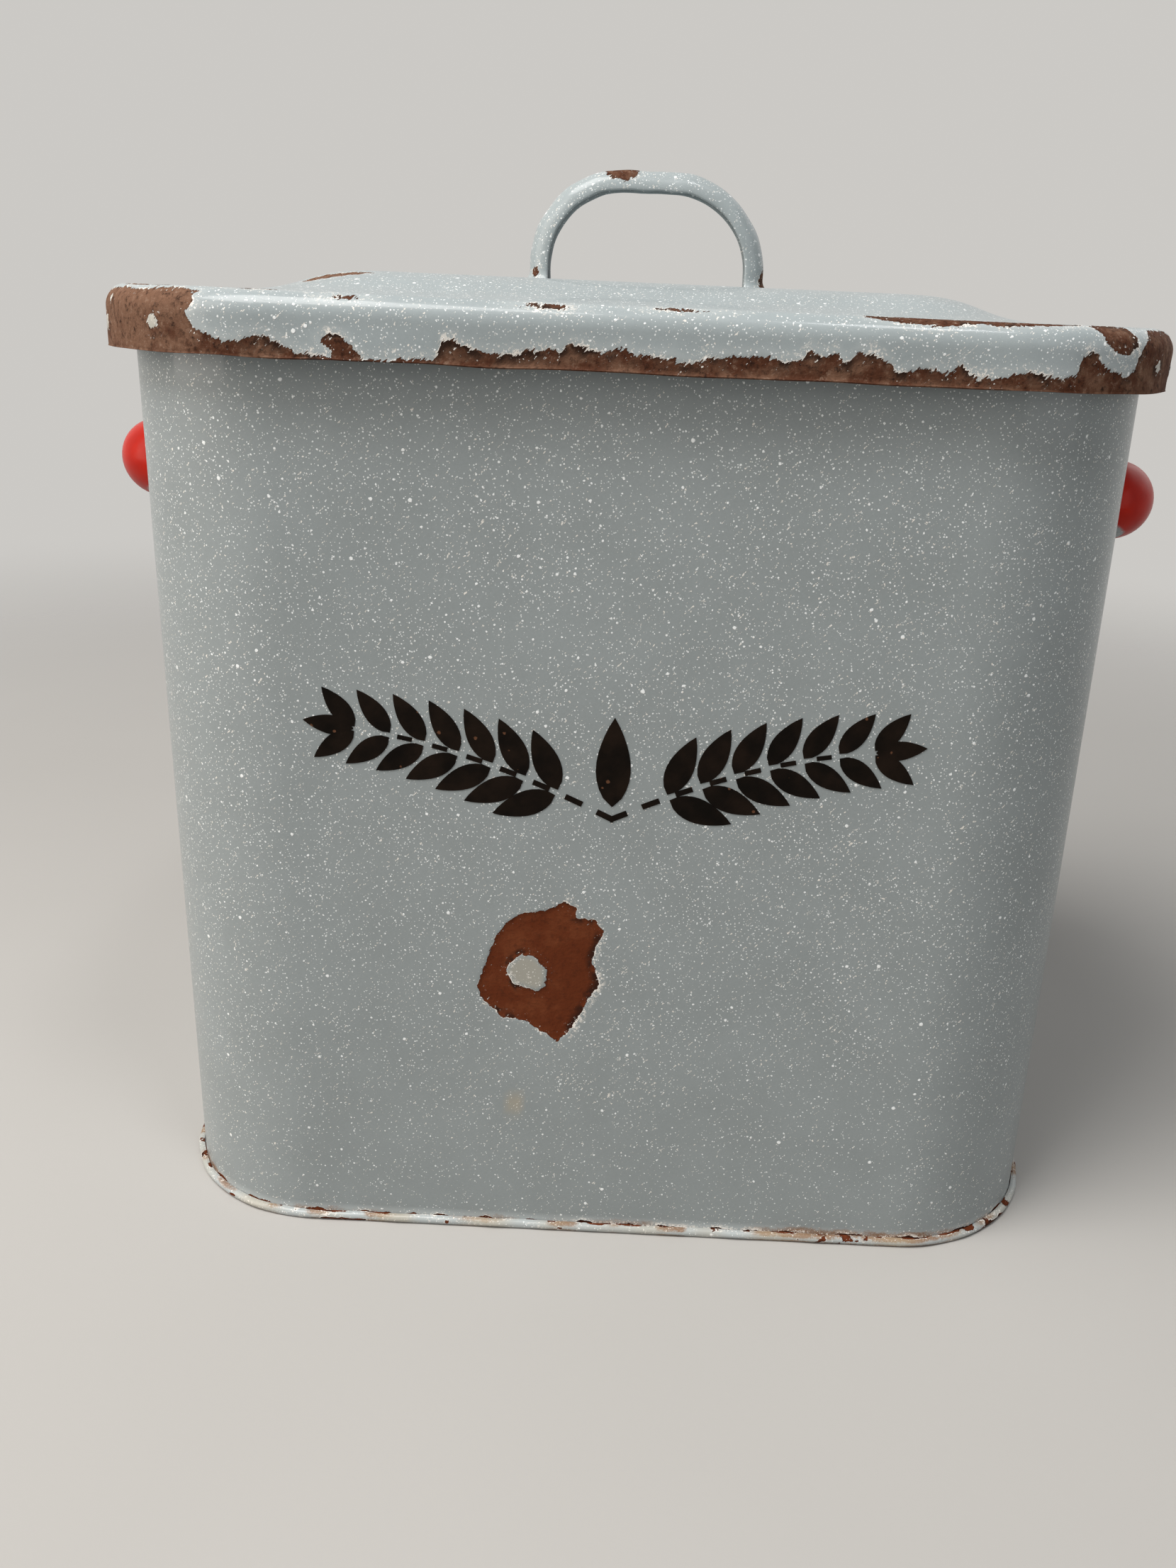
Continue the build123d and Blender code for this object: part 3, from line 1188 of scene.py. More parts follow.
@dataclass
class Wall:
    """The upright wall with its rolled rim, lap seam and worn front."""

    outline: RoundedOutline = BODY
    thickness: float = SHEET
    height: float = BODY_HEIGHT
    flange: float = 1.1
    flange_level: float = 1.05
    flare: float = 1.0
    flare_out: float = 0.35
    flare_in: float = 0.6
    rim_inner: float = 2.2
    rim_wrap: float = 265.0
    rim_points: int = 22
    inside_points: int = 16
    step: float = 3.0
    seam_width: float = 12.0
    seam_ends: Point2 = (6.1, 315.6)
    seam_corner: float = 1.2
    seam_soft: float = 0.35
    seam_round: float = 0.12
    seam_sunk: float = 0.3
    seam_stations: tuple[int, int, int] = (4, 60, 4)

    # Sheet that strays from flat, apart at the front and the back, and held by the corners, foot and rim
    buckle: Ripple = Ripple(95.0, 11, 0.22)
    back_apart: float = 400.0
    flat_from: Point2 = (95.0, 119.0)
    flat_to: Point2 = (85.0, 125.0)
    held_from: Point2 = (10.0, 60.0)
    held_to: Point2 = (270.0, 312.0)

    # The big chip on the front with its island of sound enamel, as places across and up the front
    chip: tuple[Point2, ...] = (
        (-16.5, 135.0), (-12.5, 132.5), (-12.5, 129.0), (-6.0, 128.5), (-3.0, 124.0), (-6.5, 115.0),
        (-6.0, 111.0), (-4.0, 104.0), (-7.0, 99.0), (-13.0, 86.0), (-18.0, 80.0), (-22.5, 83.0),
        (-30.0, 87.5), (-38.0, 89.0), (-45.5, 96.5), (-46.5, 101.5), (-41.0, 119.0), (-36.5, 126.0),
        (-32.0, 129.5), (-22.5, 131.5))
    island: tuple[Point2, ...] = (
        (-31.0, 114.0), (-26.0, 113.0), (-22.5, 108.5), (-23.0, 102.5), (-25.5, 100.0), (-34.0, 102.5),
        (-36.5, 107.5), (-35.5, 110.0))
    chip_depth: float = 0.34
    chip_margin: float = 5.0
    chip_cuts: int = 3
    sunk_over: Point2 = (-0.2, 0.9)
    island_over: Point2 = (-0.5, 2.0)
    island_tea: float = 0.35
    island_pale: float = 0.08
    soot: float = 0.9
    soot_from: Point2 = (-20.0, -11.0)
    soot_to: Point2 = (112.0, 128.0)
    pinholes: tuple[Oval, ...] = (
        Oval.spot(-89.2, 236.9, 0.75), Oval.spot(-15.8, 171.1, 0.6), Oval.spot(71.0, 254.0, 0.4))
    spill: Oval = Oval((-33.3, 53.3), (4.0, 7.5), 1.0)
    spill_tone: float = 0.5
    spill_over: Point2 = (0.0, 0.8)

    # Foot of the wall, frayed and stained above the hem, most of all on the front's right
    fray: Ripple = Ripple(15.0, 5, 0.8, -0.7)
    fray_loss: float = 1.6
    run: Ripple = Ripple(60.0, 8, 0.9, 0.75)
    run_most: float = 1.4
    run_share: float = 0.5
    wet_from: Point2 = (55.0, 75.0)
    wet_to: Point2 = (118.0, 150.0)
    wet_run: float = 1.2
    run_height: Point2 = (2.0, 7.5)
    pale_foot: float = 0.4
    pale_height: Point2 = (2.5, 6.0)

    # How near the front's plane counts as the front, and as its outer face
    front_slack: float = 1.5
    face_slack: float = 0.01

    @property
    def front(self) -> float:
        """Where the front's outer face lies along Y."""
        return -self.outline.depth / 2.0

    def on_front(self, points: Array) -> Array:
        """Tell which points lie on the front sheet."""
        return points[:, 1] < self.front + self.front_slack

    def section(self) -> Array:
        """Draw the wall's section, up outside and down inside.

        Returns:
            Pairs of outward reach and height.
        """
        turn = np.radians(np.linspace(180.0, 180.0 - self.rim_wrap, self.rim_points))
        level = self.height - self.rim_inner - self.thickness
        low, high = self.flange_level, self.flange_level + self.thickness
        outside = np.linspace(high + self.flare, level, round(level / self.step))
        inside = np.linspace(level, low + self.flare, self.inside_points)[1:]
        foot = np.array(((self.flange, low), (self.flange, high), (self.flare_out, high)))
        roll_middle = (self.rim_inner, level)
        return np.concatenate((
            foot, raised(np.zeros((len(outside), 1)), outside), arc(roll_middle, self.rim_inner, turn[1:]),
            arc(roll_middle, self.rim_inner + self.thickness, turn[::-1]),
            raised(np.full((len(inside), 1), -self.thickness), inside), np.array(((-self.flare_in, low),))))

    def uneven(self, points: Array) -> Array:
        """Work out how far the front and back sheets stray from flat.

        Args:
            points: Points in millimetres.

        Returns:
            Movement along Y for each point.
        """
        x, y, z = points.T
        place = np.column_stack((x, np.where(y > 0.0, self.back_apart, 0.0), z))
        flat = smooth_step(*self.flat_from, np.abs(y)) * smooth_fall(*self.flat_to, np.abs(x))
        return flat * plateau(self.held_from, self.held_to, z) * self.buckle.at(place)

    def wear(self, points: Array) -> Array:
        """Mark where the enamel is gone.

        Args:
            points: Points in millimetres.

        Returns:
            Millimetres inside the bare patch, negative on sound enamel.
        """
        face = points[:, (0, 2)]
        bare = np.minimum(depth_inside(face, self.chip), -depth_inside(face, self.island))
        for hole in self.pinholes:
            bare = np.maximum(bare, hole.depth(face))
        bare = np.where(self.on_front(points), bare, FAR)
        along = self.outline.along(points[:, :2])
        frayed = self.fray.along(along) - (points[:, 2] - HEM_TOP) * self.fray_loss
        return bounded(np.maximum(bare, frayed))

    def stain(self, points: Array) -> Array:
        """Mark where rusty water has run out of the hem.

        Args:
            points: Points in millimetres.

        Returns:
            Strength of the stain.
        """
        along = self.outline.along(points[:, :2])
        run = np.clip(self.run.along(along), 0.0, self.run_most) * self.run_share
        wet = plateau(self.wet_from, self.wet_to, along)
        return (run * (1.0 - wet) + wet * self.wet_run) * smooth_fall(*self.run_height, points[:, 2])

    def build(self, carrier: SectionCarrier, finishes: Finishes) -> bpy.types.Object:
        """Make the wall and hand it to the bin.

        Args:
            carrier: Tree that carries the section round.
            finishes: Finishes to dress it with.

        Returns:
            The wall.
        """
        x, y = self.outline.width / 2.0, self.outline.depth / 2.0
        corners = ((x, y), (-x, y), (-x, -y), (x, -y))
        sheet = carrier.carry(corners, True, self.section(), self.outline.radius, self.step,
                              finishes.bin_grey)
        sheet = self._finer_at_chip(sheet).joined(self._seam_strip())
        points = sheet.points
        fields = self.fields(points)
        outer_face = np.abs(points[:, 1] - self.front) < self.face_slack
        sunk = self.chip_depth * smooth_step(*self.sunk_over, fields["wear"]) * outer_face
        moved = self.uneven(points) + sunk
        sheet.points = points + np.column_stack((np.zeros_like(moved), moved, np.zeros_like(moved)))
        piece = sheet.piece("wall_sheet", finishes.bin_grey, fields)
        fit(piece, Body.BIN, "body_wall")
        return piece

    def fields(self, points: Array) -> dict[str, Array]:
        """Work out what the finish reads.

        Args:
            points: Points in millimetres, before the sheet is moved.

        Returns:
            The wall's fields.
        """
        face = points[:, (0, 2)]
        front = self.on_front(points)
        island = smooth_step(*self.island_over, depth_inside(face, self.island)) * front
        spill = self.spill_tone * smooth_step(*self.spill_over, self.spill.depth(face)) * front
        sooty = smooth_step(*self.soot_from, points[:, 0]) * smooth_fall(*self.soot_to, points[:, 2])
        pale = self.pale_foot * smooth_fall(*self.pale_height, points[:, 2])
        return {"wear": self.wear(points), "stain": self.stain(points), "dust": -self.soot * sooty,
                "tea": np.maximum(spill, self.island_tea * island),
                "pale": np.maximum(pale, self.island_pale * island)}

    def _finer_at_chip(self, sheet: SheetMesh) -> SheetMesh:
        """Divide the front's faces round the big chip, so that its edge is a real step.

        Args:
            sheet: The wall as it was carried round.

        Returns:
            The wall with the finer faces.
        """
        corners = np.array(self.chip)
        low, high = corners.min(0) - self.chip_margin, corners.max(0) + self.chip_margin
        mesh = bpy.data.meshes.new("chip_work")
        mesh.from_pydata(sheet.points.tolist(), [], sheet.faces)
        work = bmesh.new()
        work.from_mesh(mesh)

        def near(vert: bmesh.types.BMVert) -> bool:
            """Tell whether a point lies on the front near the chip."""
            x, y, z = vert.co
            return abs(y - self.front) < self.face_slack and low[0] < x < high[0] and low[1] < z < high[1]

        edges = [edge for edge in work.edges if all(map(near, edge.verts))]
        bmesh.ops.subdivide_edges(work, edges=edges, cuts=self.chip_cuts, use_grid_fill=True)
        work.to_mesh(mesh)
        work.free()
        finer = SheetMesh.taken_from(mesh, unit=1.0)
        bpy.data.meshes.remove(mesh)
        return finer

    def _seam_strip(self) -> SheetMesh:
        """Make the lap seam down the back as a strip with softened edges.

        Returns:
            The strip.
        """
        low, high = self.seam_ends
        rings = []
        for inset, sunk in ((0.0, self.thickness + self.seam_sunk), (0.0, self.seam_soft),
                            (self.seam_round, self.seam_round), (self.seam_soft, 0.0)):
            width, height = self.seam_width - 2.0 * inset, high - low - 2.0 * inset
            shape = RoundedOutline(width, height, self.seam_corner - inset)
            flat, _ = shape.stations(*self.seam_stations)
            out = np.full(len(flat), self.outline.depth / 2.0 + self.thickness - sunk)
            rings.append(np.column_stack((flat[:, 0], out, flat[:, 1] + (high + low) / 2.0)))
        return ring_skin(rings)


@dataclass
class Base:
    """The base pan: hem bead, standing ring and raised floor."""

    outline: RoundedOutline = BODY
    thickness: float = SHEET
    hem_end: float = 0.4
    hem_middle: float = 1.15
    hem_top: float = HEM_TOP
    lip_drop: float = 0.15
    ring_inner: float = -7.0
    step_run: float = 9.0
    step_points: int = 7
    bead_points: int = 13
    recess: float = 3.0
    floor_share: float = 0.55
    stations: tuple[int, int, int] = (110, 64, 44)
    wander: Ripple = Ripple(22.0, 21, 0.10)
    wander_from: Point2 = (0.5, 1.5)

    # Bare places on the bead: spots, worn corners, one rusty patch, and a dark line along the slit of the
    # fold that is partly rust and partly painted shade of the gap
    spots: Ripple = Ripple(6.0, 31, 0.8)
    spots_squeeze: float = 2.5
    thin: Ripple = Ripple(55.0, 32, 0.7, -2.0)
    corner_wear: float = 0.9
    corner_from: Point2 = (118.0, 140.0)
    corner_to: Point2 = (195.0, 230.0)
    patch_wear: float = 2.6
    patch_middle: float = -96.0
    patch_half: Point2 = (8.0, 11.0)
    patch_height: Point2 = (1.2, 1.9)
    slit_rust_and_shade: tuple[Ripple, ...] = (Ripple(13.0, 34, 0.6), Ripple(75.0, 35, 0.7, -0.75))
    slit_from: float = 2.0
    slit_within: float = 0.3
    slit_gain: float = 1.2
    slit_loss: float = 1.4

    # Rusty water and grime on the bead
    run: Ripple = Ripple(24.0, 33, 0.55, 0.30)
    run_most: float = 0.9
    wet_from: Point2 = (55.0, 75.0)
    wet_to: Point2 = (125.0, 160.0)
    crown: float = 1.7
    crown_reach: float = 1.2
    crown_run: float = 0.25
    pale: float = 0.45
    grime: Ripple = Ripple(30.0, 36, 0.14, 0.16)
    grime_most: float = 0.4

    def profile(self) -> Array:
        """Draw the section from the floor's underside out round the hem and back above the floor.

        Returns:
            Rows of outward reach, height and 1 where the point is on the hem's outer skin.
        """
        share = np.linspace(1.0, 0.0, self.step_points)
        floor = self.ring_inner - self.step_run
        under = np.column_stack((floor + self.step_run * (1.0 - share),
                                 self.recess * smooth_step(0.0, 1.0, share)))
        half = self.hem_top / 2.0
        bend = np.radians(np.linspace(-90.0, 90.0, self.bead_points))
        bead = arc((self.hem_middle, half), half, bend)
        fold = arc((self.hem_middle, half), half - self.thickness, bend[::-2])
        lip = np.array(((self.hem_end, self.hem_top - self.lip_drop),))
        back = np.array(((self.hem_end, self.hem_top - self.thickness),))
        over = under[::-1] + np.array((0.0, self.thickness))
        runs = ((under, 0.0), (bead, 1.0), (lip, 1.0), (back, 0.0), (fold, 0.0), (over, 0.0))
        return np.concatenate([raised(points, hem) for points, hem in runs])

    def wear(self, around: Array, reach: Array, up: Array) -> Array:
        """Mark where the bead's enamel is gone, and the dark line along the fold's slit, which is partly
        rust there and partly painted shade of the gap.

        Args:
            around: Length along the outline from the front's middle.
            reach: Outward reach of each point.
            up: Height of each point.

        Returns:
            Millimetres inside the bare patch, negative on sound enamel.
        """
        bare = self.spots.at(np.column_stack((around, self.spots_squeeze * up))) + self.thin.along(around)
        bare += self.corner_wear * plateau(self.corner_from, self.corner_to, np.abs(around))
        patch = smooth_fall(*self.patch_half, np.abs(around - self.patch_middle))
        bare += self.patch_wear * patch * smooth_fall(*self.patch_height, up)
        # Dark line along the fold's slit: partly rust in the fold, partly painted shade of its gap
        inward = self.hem_middle - reach
        slit_rust_and_shade = sum(ripple.along(around) for ripple in self.slit_rust_and_shade)
        slit_rust_and_shade = slit_rust_and_shade + self.slit_gain * np.minimum(inward, self.slit_within)
        slit_rust_and_shade = slit_rust_and_shade - self.slit_loss * np.maximum(-inward, 0.0)
        return np.maximum(bare, np.where(up > self.slit_from, slit_rust_and_shade, FAR))

    def stain(self, around: Array, up: Array) -> Array:
        """Mark where rusty water has run along the bead.

        Args:
            around: Length along the outline from the front's middle.
            up: Height of each point.

        Returns:
            Strength of the stain.
        """
        run = np.clip(self.run.along(around), 0.0, self.run_most)
        wet = plateau(self.wet_from, self.wet_to, around)
        off_crown = np.abs(up - self.crown) / self.crown_reach
        return (run * (1.0 - wet) + wet) * (self.crown_run + (1.0 - self.crown_run) * off_crown)

    def build(self, finishes: Finishes) -> bpy.types.Object:
        """Make the base and hand it to the bin.

        Args:
            finishes: Finishes to dress it with.

        Returns:
            The base.
        """
        flat, outward = self.outline.stations(*self.stations)
        along = self.outline.along(flat)
        profile = self.profile()
        rings = []
        for reach, up, hem in profile:
            wander = self.wander.along(along) * hem * smooth_step(*self.wander_from, up)
            rings.append(raised(flat + outward * (reach + wander)[:, None], up))
        floor = raised(flat * self.floor_share, self.recess)
        sheet = ring_skin([floor, *rings, floor + np.array((0.0, 0.0, self.thickness))])
        middle = np.zeros((1, 3))
        section = np.concatenate((middle, profile, middle))
        reach, up, hem = np.repeat(section, len(flat), axis=0).T
        around = np.tile(along, len(section))
        fields = {"wear": bounded(np.where(hem > 0.5, self.wear(around, reach, up), FAR)),
                  "stain": self.stain(around, up) * hem, "pale": self.pale * hem,
                  "tea": hem * np.clip(self.grime.along(around), 0.0, self.grime_most)}
        piece = sheet.piece("base_pan_sheet", finishes.bin_grey, fields)
        fit(piece, Body.BIN, "base_pan")
        return piece


@dataclass
class Lid:
    """The lift-off lid: skirt, shoulder, ledge, slope and raised panel.

    Places on its skin are pairs of the length along the edge, from the front's middle, and the
    length along the section, from the skirt's foot.
    """

    edge: RoundedOutline = LID_EDGE
    slope_foot: RoundedOutline = SLOPE_FOOT
    thickness: float = SHEET
    ledge_top: float = LEDGE_TOP
    skirt_bottom: float = LEDGE_TOP - SKIRT
    shoulder: float = 7.0
    slope_run: float = 42.64
    panel_rise: float = PANEL_RISE
    panel_share: float = 0.94
    stations: tuple[int, int, int] = (170, 60, 62)
    outer_rings: tuple[int, ...] = (13, 11, 10, 15, 7)
    inner_rings: tuple[int, ...] = (5, 6, 4, 8, 4)
    lip_points: int = 7

    # Lengths that the ledge and the panel count for along the section, and where the panel's wear starts
    ledge_length: float = 34.0
    panel_length: float = 60.0
    panel_from: float = 50.0

    # Height of the worn edge, drawn where the front shows it and uneven elsewhere
    edge_wear: tuple[Point2, ...] = (
        (-126.0, 5.5), (-117.5, 3.5), (-108.0, 6.5), (-101.0, 4.0), (-97.0, 1.5), (-77.0, 0.5),
        (-57.0, 1.0), (-55.0, 6.5), (-51.5, 7.0), (-48.5, 5.0), (-40.0, 3.5), (-26.0, 5.5),
        (-21.5, 5.0), (-18.0, 7.5), (-8.5, 5.0), (-2.5, 7.0), (1.0, 4.5), (10.0, 5.0), (16.5, 3.5),
        (22.0, 5.5), (40.0, 6.5), (42.0, 5.0), (48.5, 5.5), (50.5, 9.0), (54.0, 7.0), (59.0, 8.0),
        (61.0, 5.0), (65.0, 9.0), (70.0, 8.0), (75.0, 5.5), (76.0, 3.0), (85.0, 5.5), (91.0, 3.5),
        (95.0, 7.0), (97.5, 3.5), (105.0, 3.0), (115.0, 5.0), (123.5, 3.5), (129.0, 4.5),
        (130.0, 10.0), (134.0, 12.0), (137.0, 8.0), (146.0, 5.0), (151.0, 6.0), (153.0, 11.0),
        (162.0, 19.5), (176.0, 20.0), (192.0, 17.0), (212.0, 8.0))
    drawn_to: Point2 = (208.0, 222.0)
    edge_waves: tuple[Ripple, ...] = (
        Ripple(70.0, 42, 3.0, 3.6), Ripple(17.0, 41, 1.3), Ripple(6.5, 46, 0.8))
    edge_slope: float = 0.75
    inner_edge: Ripple = Ripple(17.0, 43, 1.2, 2.2)

    # Bare patches drawn one by one, and islands of enamel left on them
    corner_bare: tuple[Point2, ...] = (
        (-126.5, 18.5), (-129.0, 16.5), (-128.0, 14.0), (-131.0, 11.0), (-126.0, 5.0), (-128.0, -3.0),
        (-226.0, -3.0), (-215.0, 13.0), (-196.0, 18.5), (-181.0, 17.5), (-166.0, 19.0), (-152.0, 18.0),
        (-140.0, 20.0))
    scrape: tuple[Point2, ...] = (
        (-90.5, 6.0), (-86.9, 7.5), (-83.4, 6.5), (-80.8, 3.4), (-77.3, 1.2), (-78.0, -2.0), (-87.0, -2.0),
        (-87.4, 2.2), (-89.0, 4.2))
    right_patch: tuple[Point2, ...] = (
        (138.4, 13.4), (143.0, 10.8), (149.0, 11.0), (152.0, 13.5), (151.6, 18.0), (150.0, 22.4),
        (139.0, 22.6), (134.0, 21.2), (137.0, 17.4))
    crest_streak: tuple[Point2, ...] = (
        (66.0, 20.0), (72.0, 18.4), (79.0, 17.3), (87.0, 16.9), (93.0, 17.8), (99.0, 19.0),
        (105.0, 17.8), (110.0, 18.8), (118.0, 18.9), (126.0, 20.0), (133.0, 21.4), (127.0, 24.0),
        (95.0, 23.2), (66.0, 22.6))
    crest_nicks: tuple[Oval, ...] = (
        Oval((-83.0, 18.2), (3.4, 0.9), 0.9), Oval((-25.0, 18.2), (6.0, 1.25), 1.25),
        Oval((14.0, 19.4), (6.2, 1.0), 1.0), Oval((-160.0, 21.6), (14.0, 1.0), 1.0),
        Oval((-112.0, 21.8), (7.0, 0.7), 0.7))
    islands: tuple[Oval, ...] = (
        Oval.spot(-144.1, 8.1, 2.1), Oval.spot(-178.0, 6.8, 2.3), Oval.spot(-171.0, 14.5, 1.2),
        Oval.spot(166.0, 7.6, 1.8), Oval.spot(186.0, 6.0, 1.4))

    # Streak on the panel's brow, as a plan
    brow_streak: tuple[Point2, ...] = (
        (-114.0, -60.5), (-111.0, -63.6), (-106.0, -65.0), (-100.0, -65.6), (-94.0, -64.6), (-88.0, -62.8),
        (-88.0, -61.0), (-94.0, -59.5), (-101.0, -58.5), (-108.0, -57.5))

    # Dusty left corner
    corner_from: Point2 = (118.0, 134.0)
    corner_to: Point2 = (225.0, 250.0)
    dust_height: Point2 = (4.0, 15.0)
    dust_low: float = 0.30
    dust_more: float = 0.4
    dust_elsewhere: float = -0.10

    # Tones beside the bare patches and on the islands
    edge_stain: float = 0.12
    edge_stain_top: float = 14.0
    edge_pale: float = 0.22
    edge_pale_over: Point2 = (-3.0, -0.6)
    island_pale: float = 0.5
    island_tea: float = 0.4
    island_border: Point2 = (0.0, 1.0)

    # Knocks: sunk chips, a wandering skirt and one dent that lies aslant
    chip_depth: float = 0.26
    sunk_over: Point2 = (-0.3, 1.0)
    foot_rise: Ripple = Ripple(40.0, 44, 0.12)
    foot_sway: Ripple = Ripple(75.0, 45, 0.2)
    foot_height: Point2 = (2.0, 12.0)
    dent: Point2 = (-64.0, -78.0)
    dent_depth: float = 0.7
    dent_axes: tuple[Point2, Point2] = ((0.89, 0.45), (0.45, -0.89))
    dent_half: Point2 = (6.0, 14.0)
    upright_below: float = 0.5

    def rise(self, run: Array) -> Array:
        """Lift the slope by two equal arcs, from the ledge to the raised panel.

        Args:
            run: Level run from the slope's foot.

        Returns:
            Height above the ledge.
        """
        radius = (self.slope_run**2 + self.panel_rise**2) / (4.0 * self.panel_rise)
        half = self.slope_run / 2.0
        low = radius - np.sqrt(radius**2 - np.minimum(run, half) ** 2)
        high = self.panel_rise - radius + np.sqrt(radius**2 - np.minimum(self.slope_run - run, half) ** 2)
        return np.where(run < half, low, high)

    def skin(self, inset: float, counts: Sequence[int]) -> tuple[list[Array], list[float]]:
        """Lay rings over one face of the sheet, from the skirt's foot to the panel's middle.

        Args:
            inset: How far inside the outer face the rings lie.
            counts: Rings on the skirt, shoulder, ledge, slope and panel.

        Returns:
            The rings and the length along the section at each.
        """
        flat, outward = self.edge.stations(*self.stations)
        foot, foot_out = self.slope_foot.stations(*self.stations)
        on_skirt, on_shoulder, on_ledge, on_slope, on_panel = counts
        top = self.ledge_top - self.shoulder
        bend = self.shoulder - inset
        rings: list[Array] = []
        lengths: list[float] = []

        def lay(level: Array, height: float, length: float) -> None:
            """Add one ring."""
            rings.append(raised(level, height))
            lengths.append(length)

        for z in np.linspace(self.skirt_bottom + self.thickness / 2.0, top, on_skirt):
            lay(flat - outward * inset, z, z - self.skirt_bottom)
        length = top - self.skirt_bottom
        for angle in np.linspace(0.0, math.pi / 2.0, on_shoulder)[1:]:
            reach = self.shoulder - bend * math.cos(angle)
            lay(flat - outward * reach, top + bend * math.sin(angle), length + self.shoulder * angle)
        length += self.shoulder * math.pi / 2.0
        brow = flat - outward * self.shoulder
        for share in np.linspace(0.0, 1.0, on_ledge)[1:]:
            lay(brow + (foot - brow) * share, self.ledge_top - inset, length + self.ledge_length * share)
        length += self.ledge_length
        for run in np.linspace(0.0, self.slope_run, on_slope)[1:]:
            lay(foot - foot_out * run, self.ledge_top + float(self.rise(run)) - inset, length + run)
        length += self.slope_run
        rim = foot - foot_out * self.slope_run
        half_spine = (self.slope_foot.width - self.slope_foot.depth) / 2.0
        spine = np.column_stack((np.clip(rim[:, 0], -half_spine, half_spine), np.zeros(len(rim))))
        panel = self.ledge_top + self.panel_rise - inset
        for share in np.linspace(0.0, self.panel_share, on_panel)[1:]:
            lay(rim + (spine - rim) * share, panel, length + self.panel_length * share)
        return rings, lengths

    def lip(self) -> list[Array]:
        """Round the skirt's foot from its outer face to its inner one.

        Returns:
            The rings of the rounded foot.
        """
        flat, outward = self.edge.stations(*self.stations)
        half = self.thickness / 2.0
        turns = np.linspace(0.0, math.pi, self.lip_points)[1:-1]
        return [raised(flat - outward * (half - half * math.cos(turn)),
                       self.skirt_bottom + half - half * math.sin(turn)) for turn in turns]

    def wear(self, place: Array, points: Array) -> Array:
        """Mark where the outer enamel is gone.

        Args:
            place: Places on the skin.
            points: Points in millimetres.

        Returns:
            Millimetres inside the bare patch, negative on sound enamel.
        """
        around, length = place.T
        drawn = np.array(self.edge_wear)
        hidden = sum(wave.along(around) for wave in self.edge_waves)
        seen = np.where(around < drawn[0, 0], hidden, np.interp(around, drawn[:, 0], drawn[:, 1]))
        share = smooth_step(*self.drawn_to, np.abs(around))
        bare = (seen * (1.0 - share) + hidden * share - length) * self.edge_slope
        for shape in (self.corner_bare, self.scrape, self.right_patch, self.crest_streak):
            bare = np.maximum(bare, depth_inside(place, shape))
        for nick in self.crest_nicks:
            bare = np.maximum(bare, nick.depth(place))
        for island in self.islands:
            bare = np.minimum(bare, -island.depth(place))
        return np.where(length > self.panel_from, depth_inside(points[:, :2], self.brow_streak), bare)

    def build(self, finishes: Finishes) -> bpy.types.Object:
        """Make the lid's sheet and hand it to the lid.

        Args:
            finishes: Finishes to dress it with.

        Returns:
            The lid's sheet.
        """
        outer, outer_length = self.skin(0.0, self.outer_rings)
        inner, inner_length = self.skin(self.thickness, self.inner_rings)
        lip = self.lip()
        rings = outer[::-1] + lip + inner
        sheet = ring_skin(rings)
        count = len(rings[0])
        along = self.edge.along(self.edge.stations(*self.stations)[0])
        around = np.tile(along, len(rings))
        length = np.repeat(np.array(outer_length[::-1] + [0.0] * len(lip) + inner_length), count)
        inside = np.repeat(np.arange(len(rings)) >= len(outer) + len(lip), count)
        place = np.column_stack((around, length))
        bare = np.where(inside, self.inner_edge.along(around) - length, self.wear(place, sheet.points))
        bare = bounded(bare)
        fields = self.fields(place, bare)
        sheet.points = self._knocked(sheet, place, bare, inside)
        piece = sheet.piece("lid_sheet", finishes.lid_grey, fields)
        fit(piece, Body.LID, "lid_shell")
        return piece

    def fields(self, place: Array, bare: Array) -> dict[str, Array]:
        """Work out what the finish reads.

        Args:
            place: Places on the skin.
            bare: Depth of wear there.

        Returns:
            The lid's fields.
        """
        around, length = place.T
        corner = plateau(self.corner_from, self.corner_to, -around)
        dust = self.dust_low + self.dust_more * smooth_step(*self.dust_height, length)
        dust = corner * dust + self.dust_elsewhere * (1.0 - corner)
        left_on = np.zeros(len(around))
        for island in self.islands:
            left_on = np.maximum(left_on, smooth_fall(*self.island_border, -island.depth(place)))
        stain = self.edge_stain * smooth_step(*BESIDE_CHIP, bare) * (length < self.edge_stain_top)
        pale = self.edge_pale * smooth_step(*self.edge_pale_over, bare)
        return {"wear": bare, "stain": stain, "dust": dust,
                "pale": np.maximum(pale, self.island_pale * left_on), "tea": self.island_tea * left_on}

    def _knocked(self, sheet: SheetMesh, place: Array, bare: Array, inside: Array) -> Array:
        """Sink the bare patches and let the skirt's foot wander, as years of use do.

        Args:
            sheet: The lid as it was pressed.
            place: Places on the skin.
            bare: Depth of wear there.
            inside: Which points are on the inner face.

        Returns:
            The moved points.
        """
        around, length = place.T
        level = sheet.points[:, :2]
        facing = sheet.normals()
        outward = np.where((facing[:, :2] * level).sum(1) < 0.0, -1.0, 1.0)
        upward = np.where(facing[:, 2] < 0.0, -1.0, 1.0)
        upright = np.abs(facing[:, 2]) < self.upright_below
        facing = facing * np.where(upright, outward, upward)[:, None]
        sunk = self.chip_depth * smooth_step(*self.sunk_over, bare) * ~inside
        moved = sheet.points - facing * sunk[:, None]
        low = smooth_fall(*self.foot_height, length)
        moved[:, 2] += low * self.foot_rise.along(around)
        from_middle = level / np.maximum(np.linalg.norm(level, axis=1, keepdims=True), TINY)
        moved[:, :2] += from_middle * (low * self.foot_sway.along(around))[:, None]
        across = (np.array(self.dent_axes) @ (level - np.array(self.dent)).T).T / np.array(self.dent_half)
        moved[:, 2] -= self.dent_depth * np.exp(-(across**2).sum(1)) * (length > self.panel_from)
        return moved


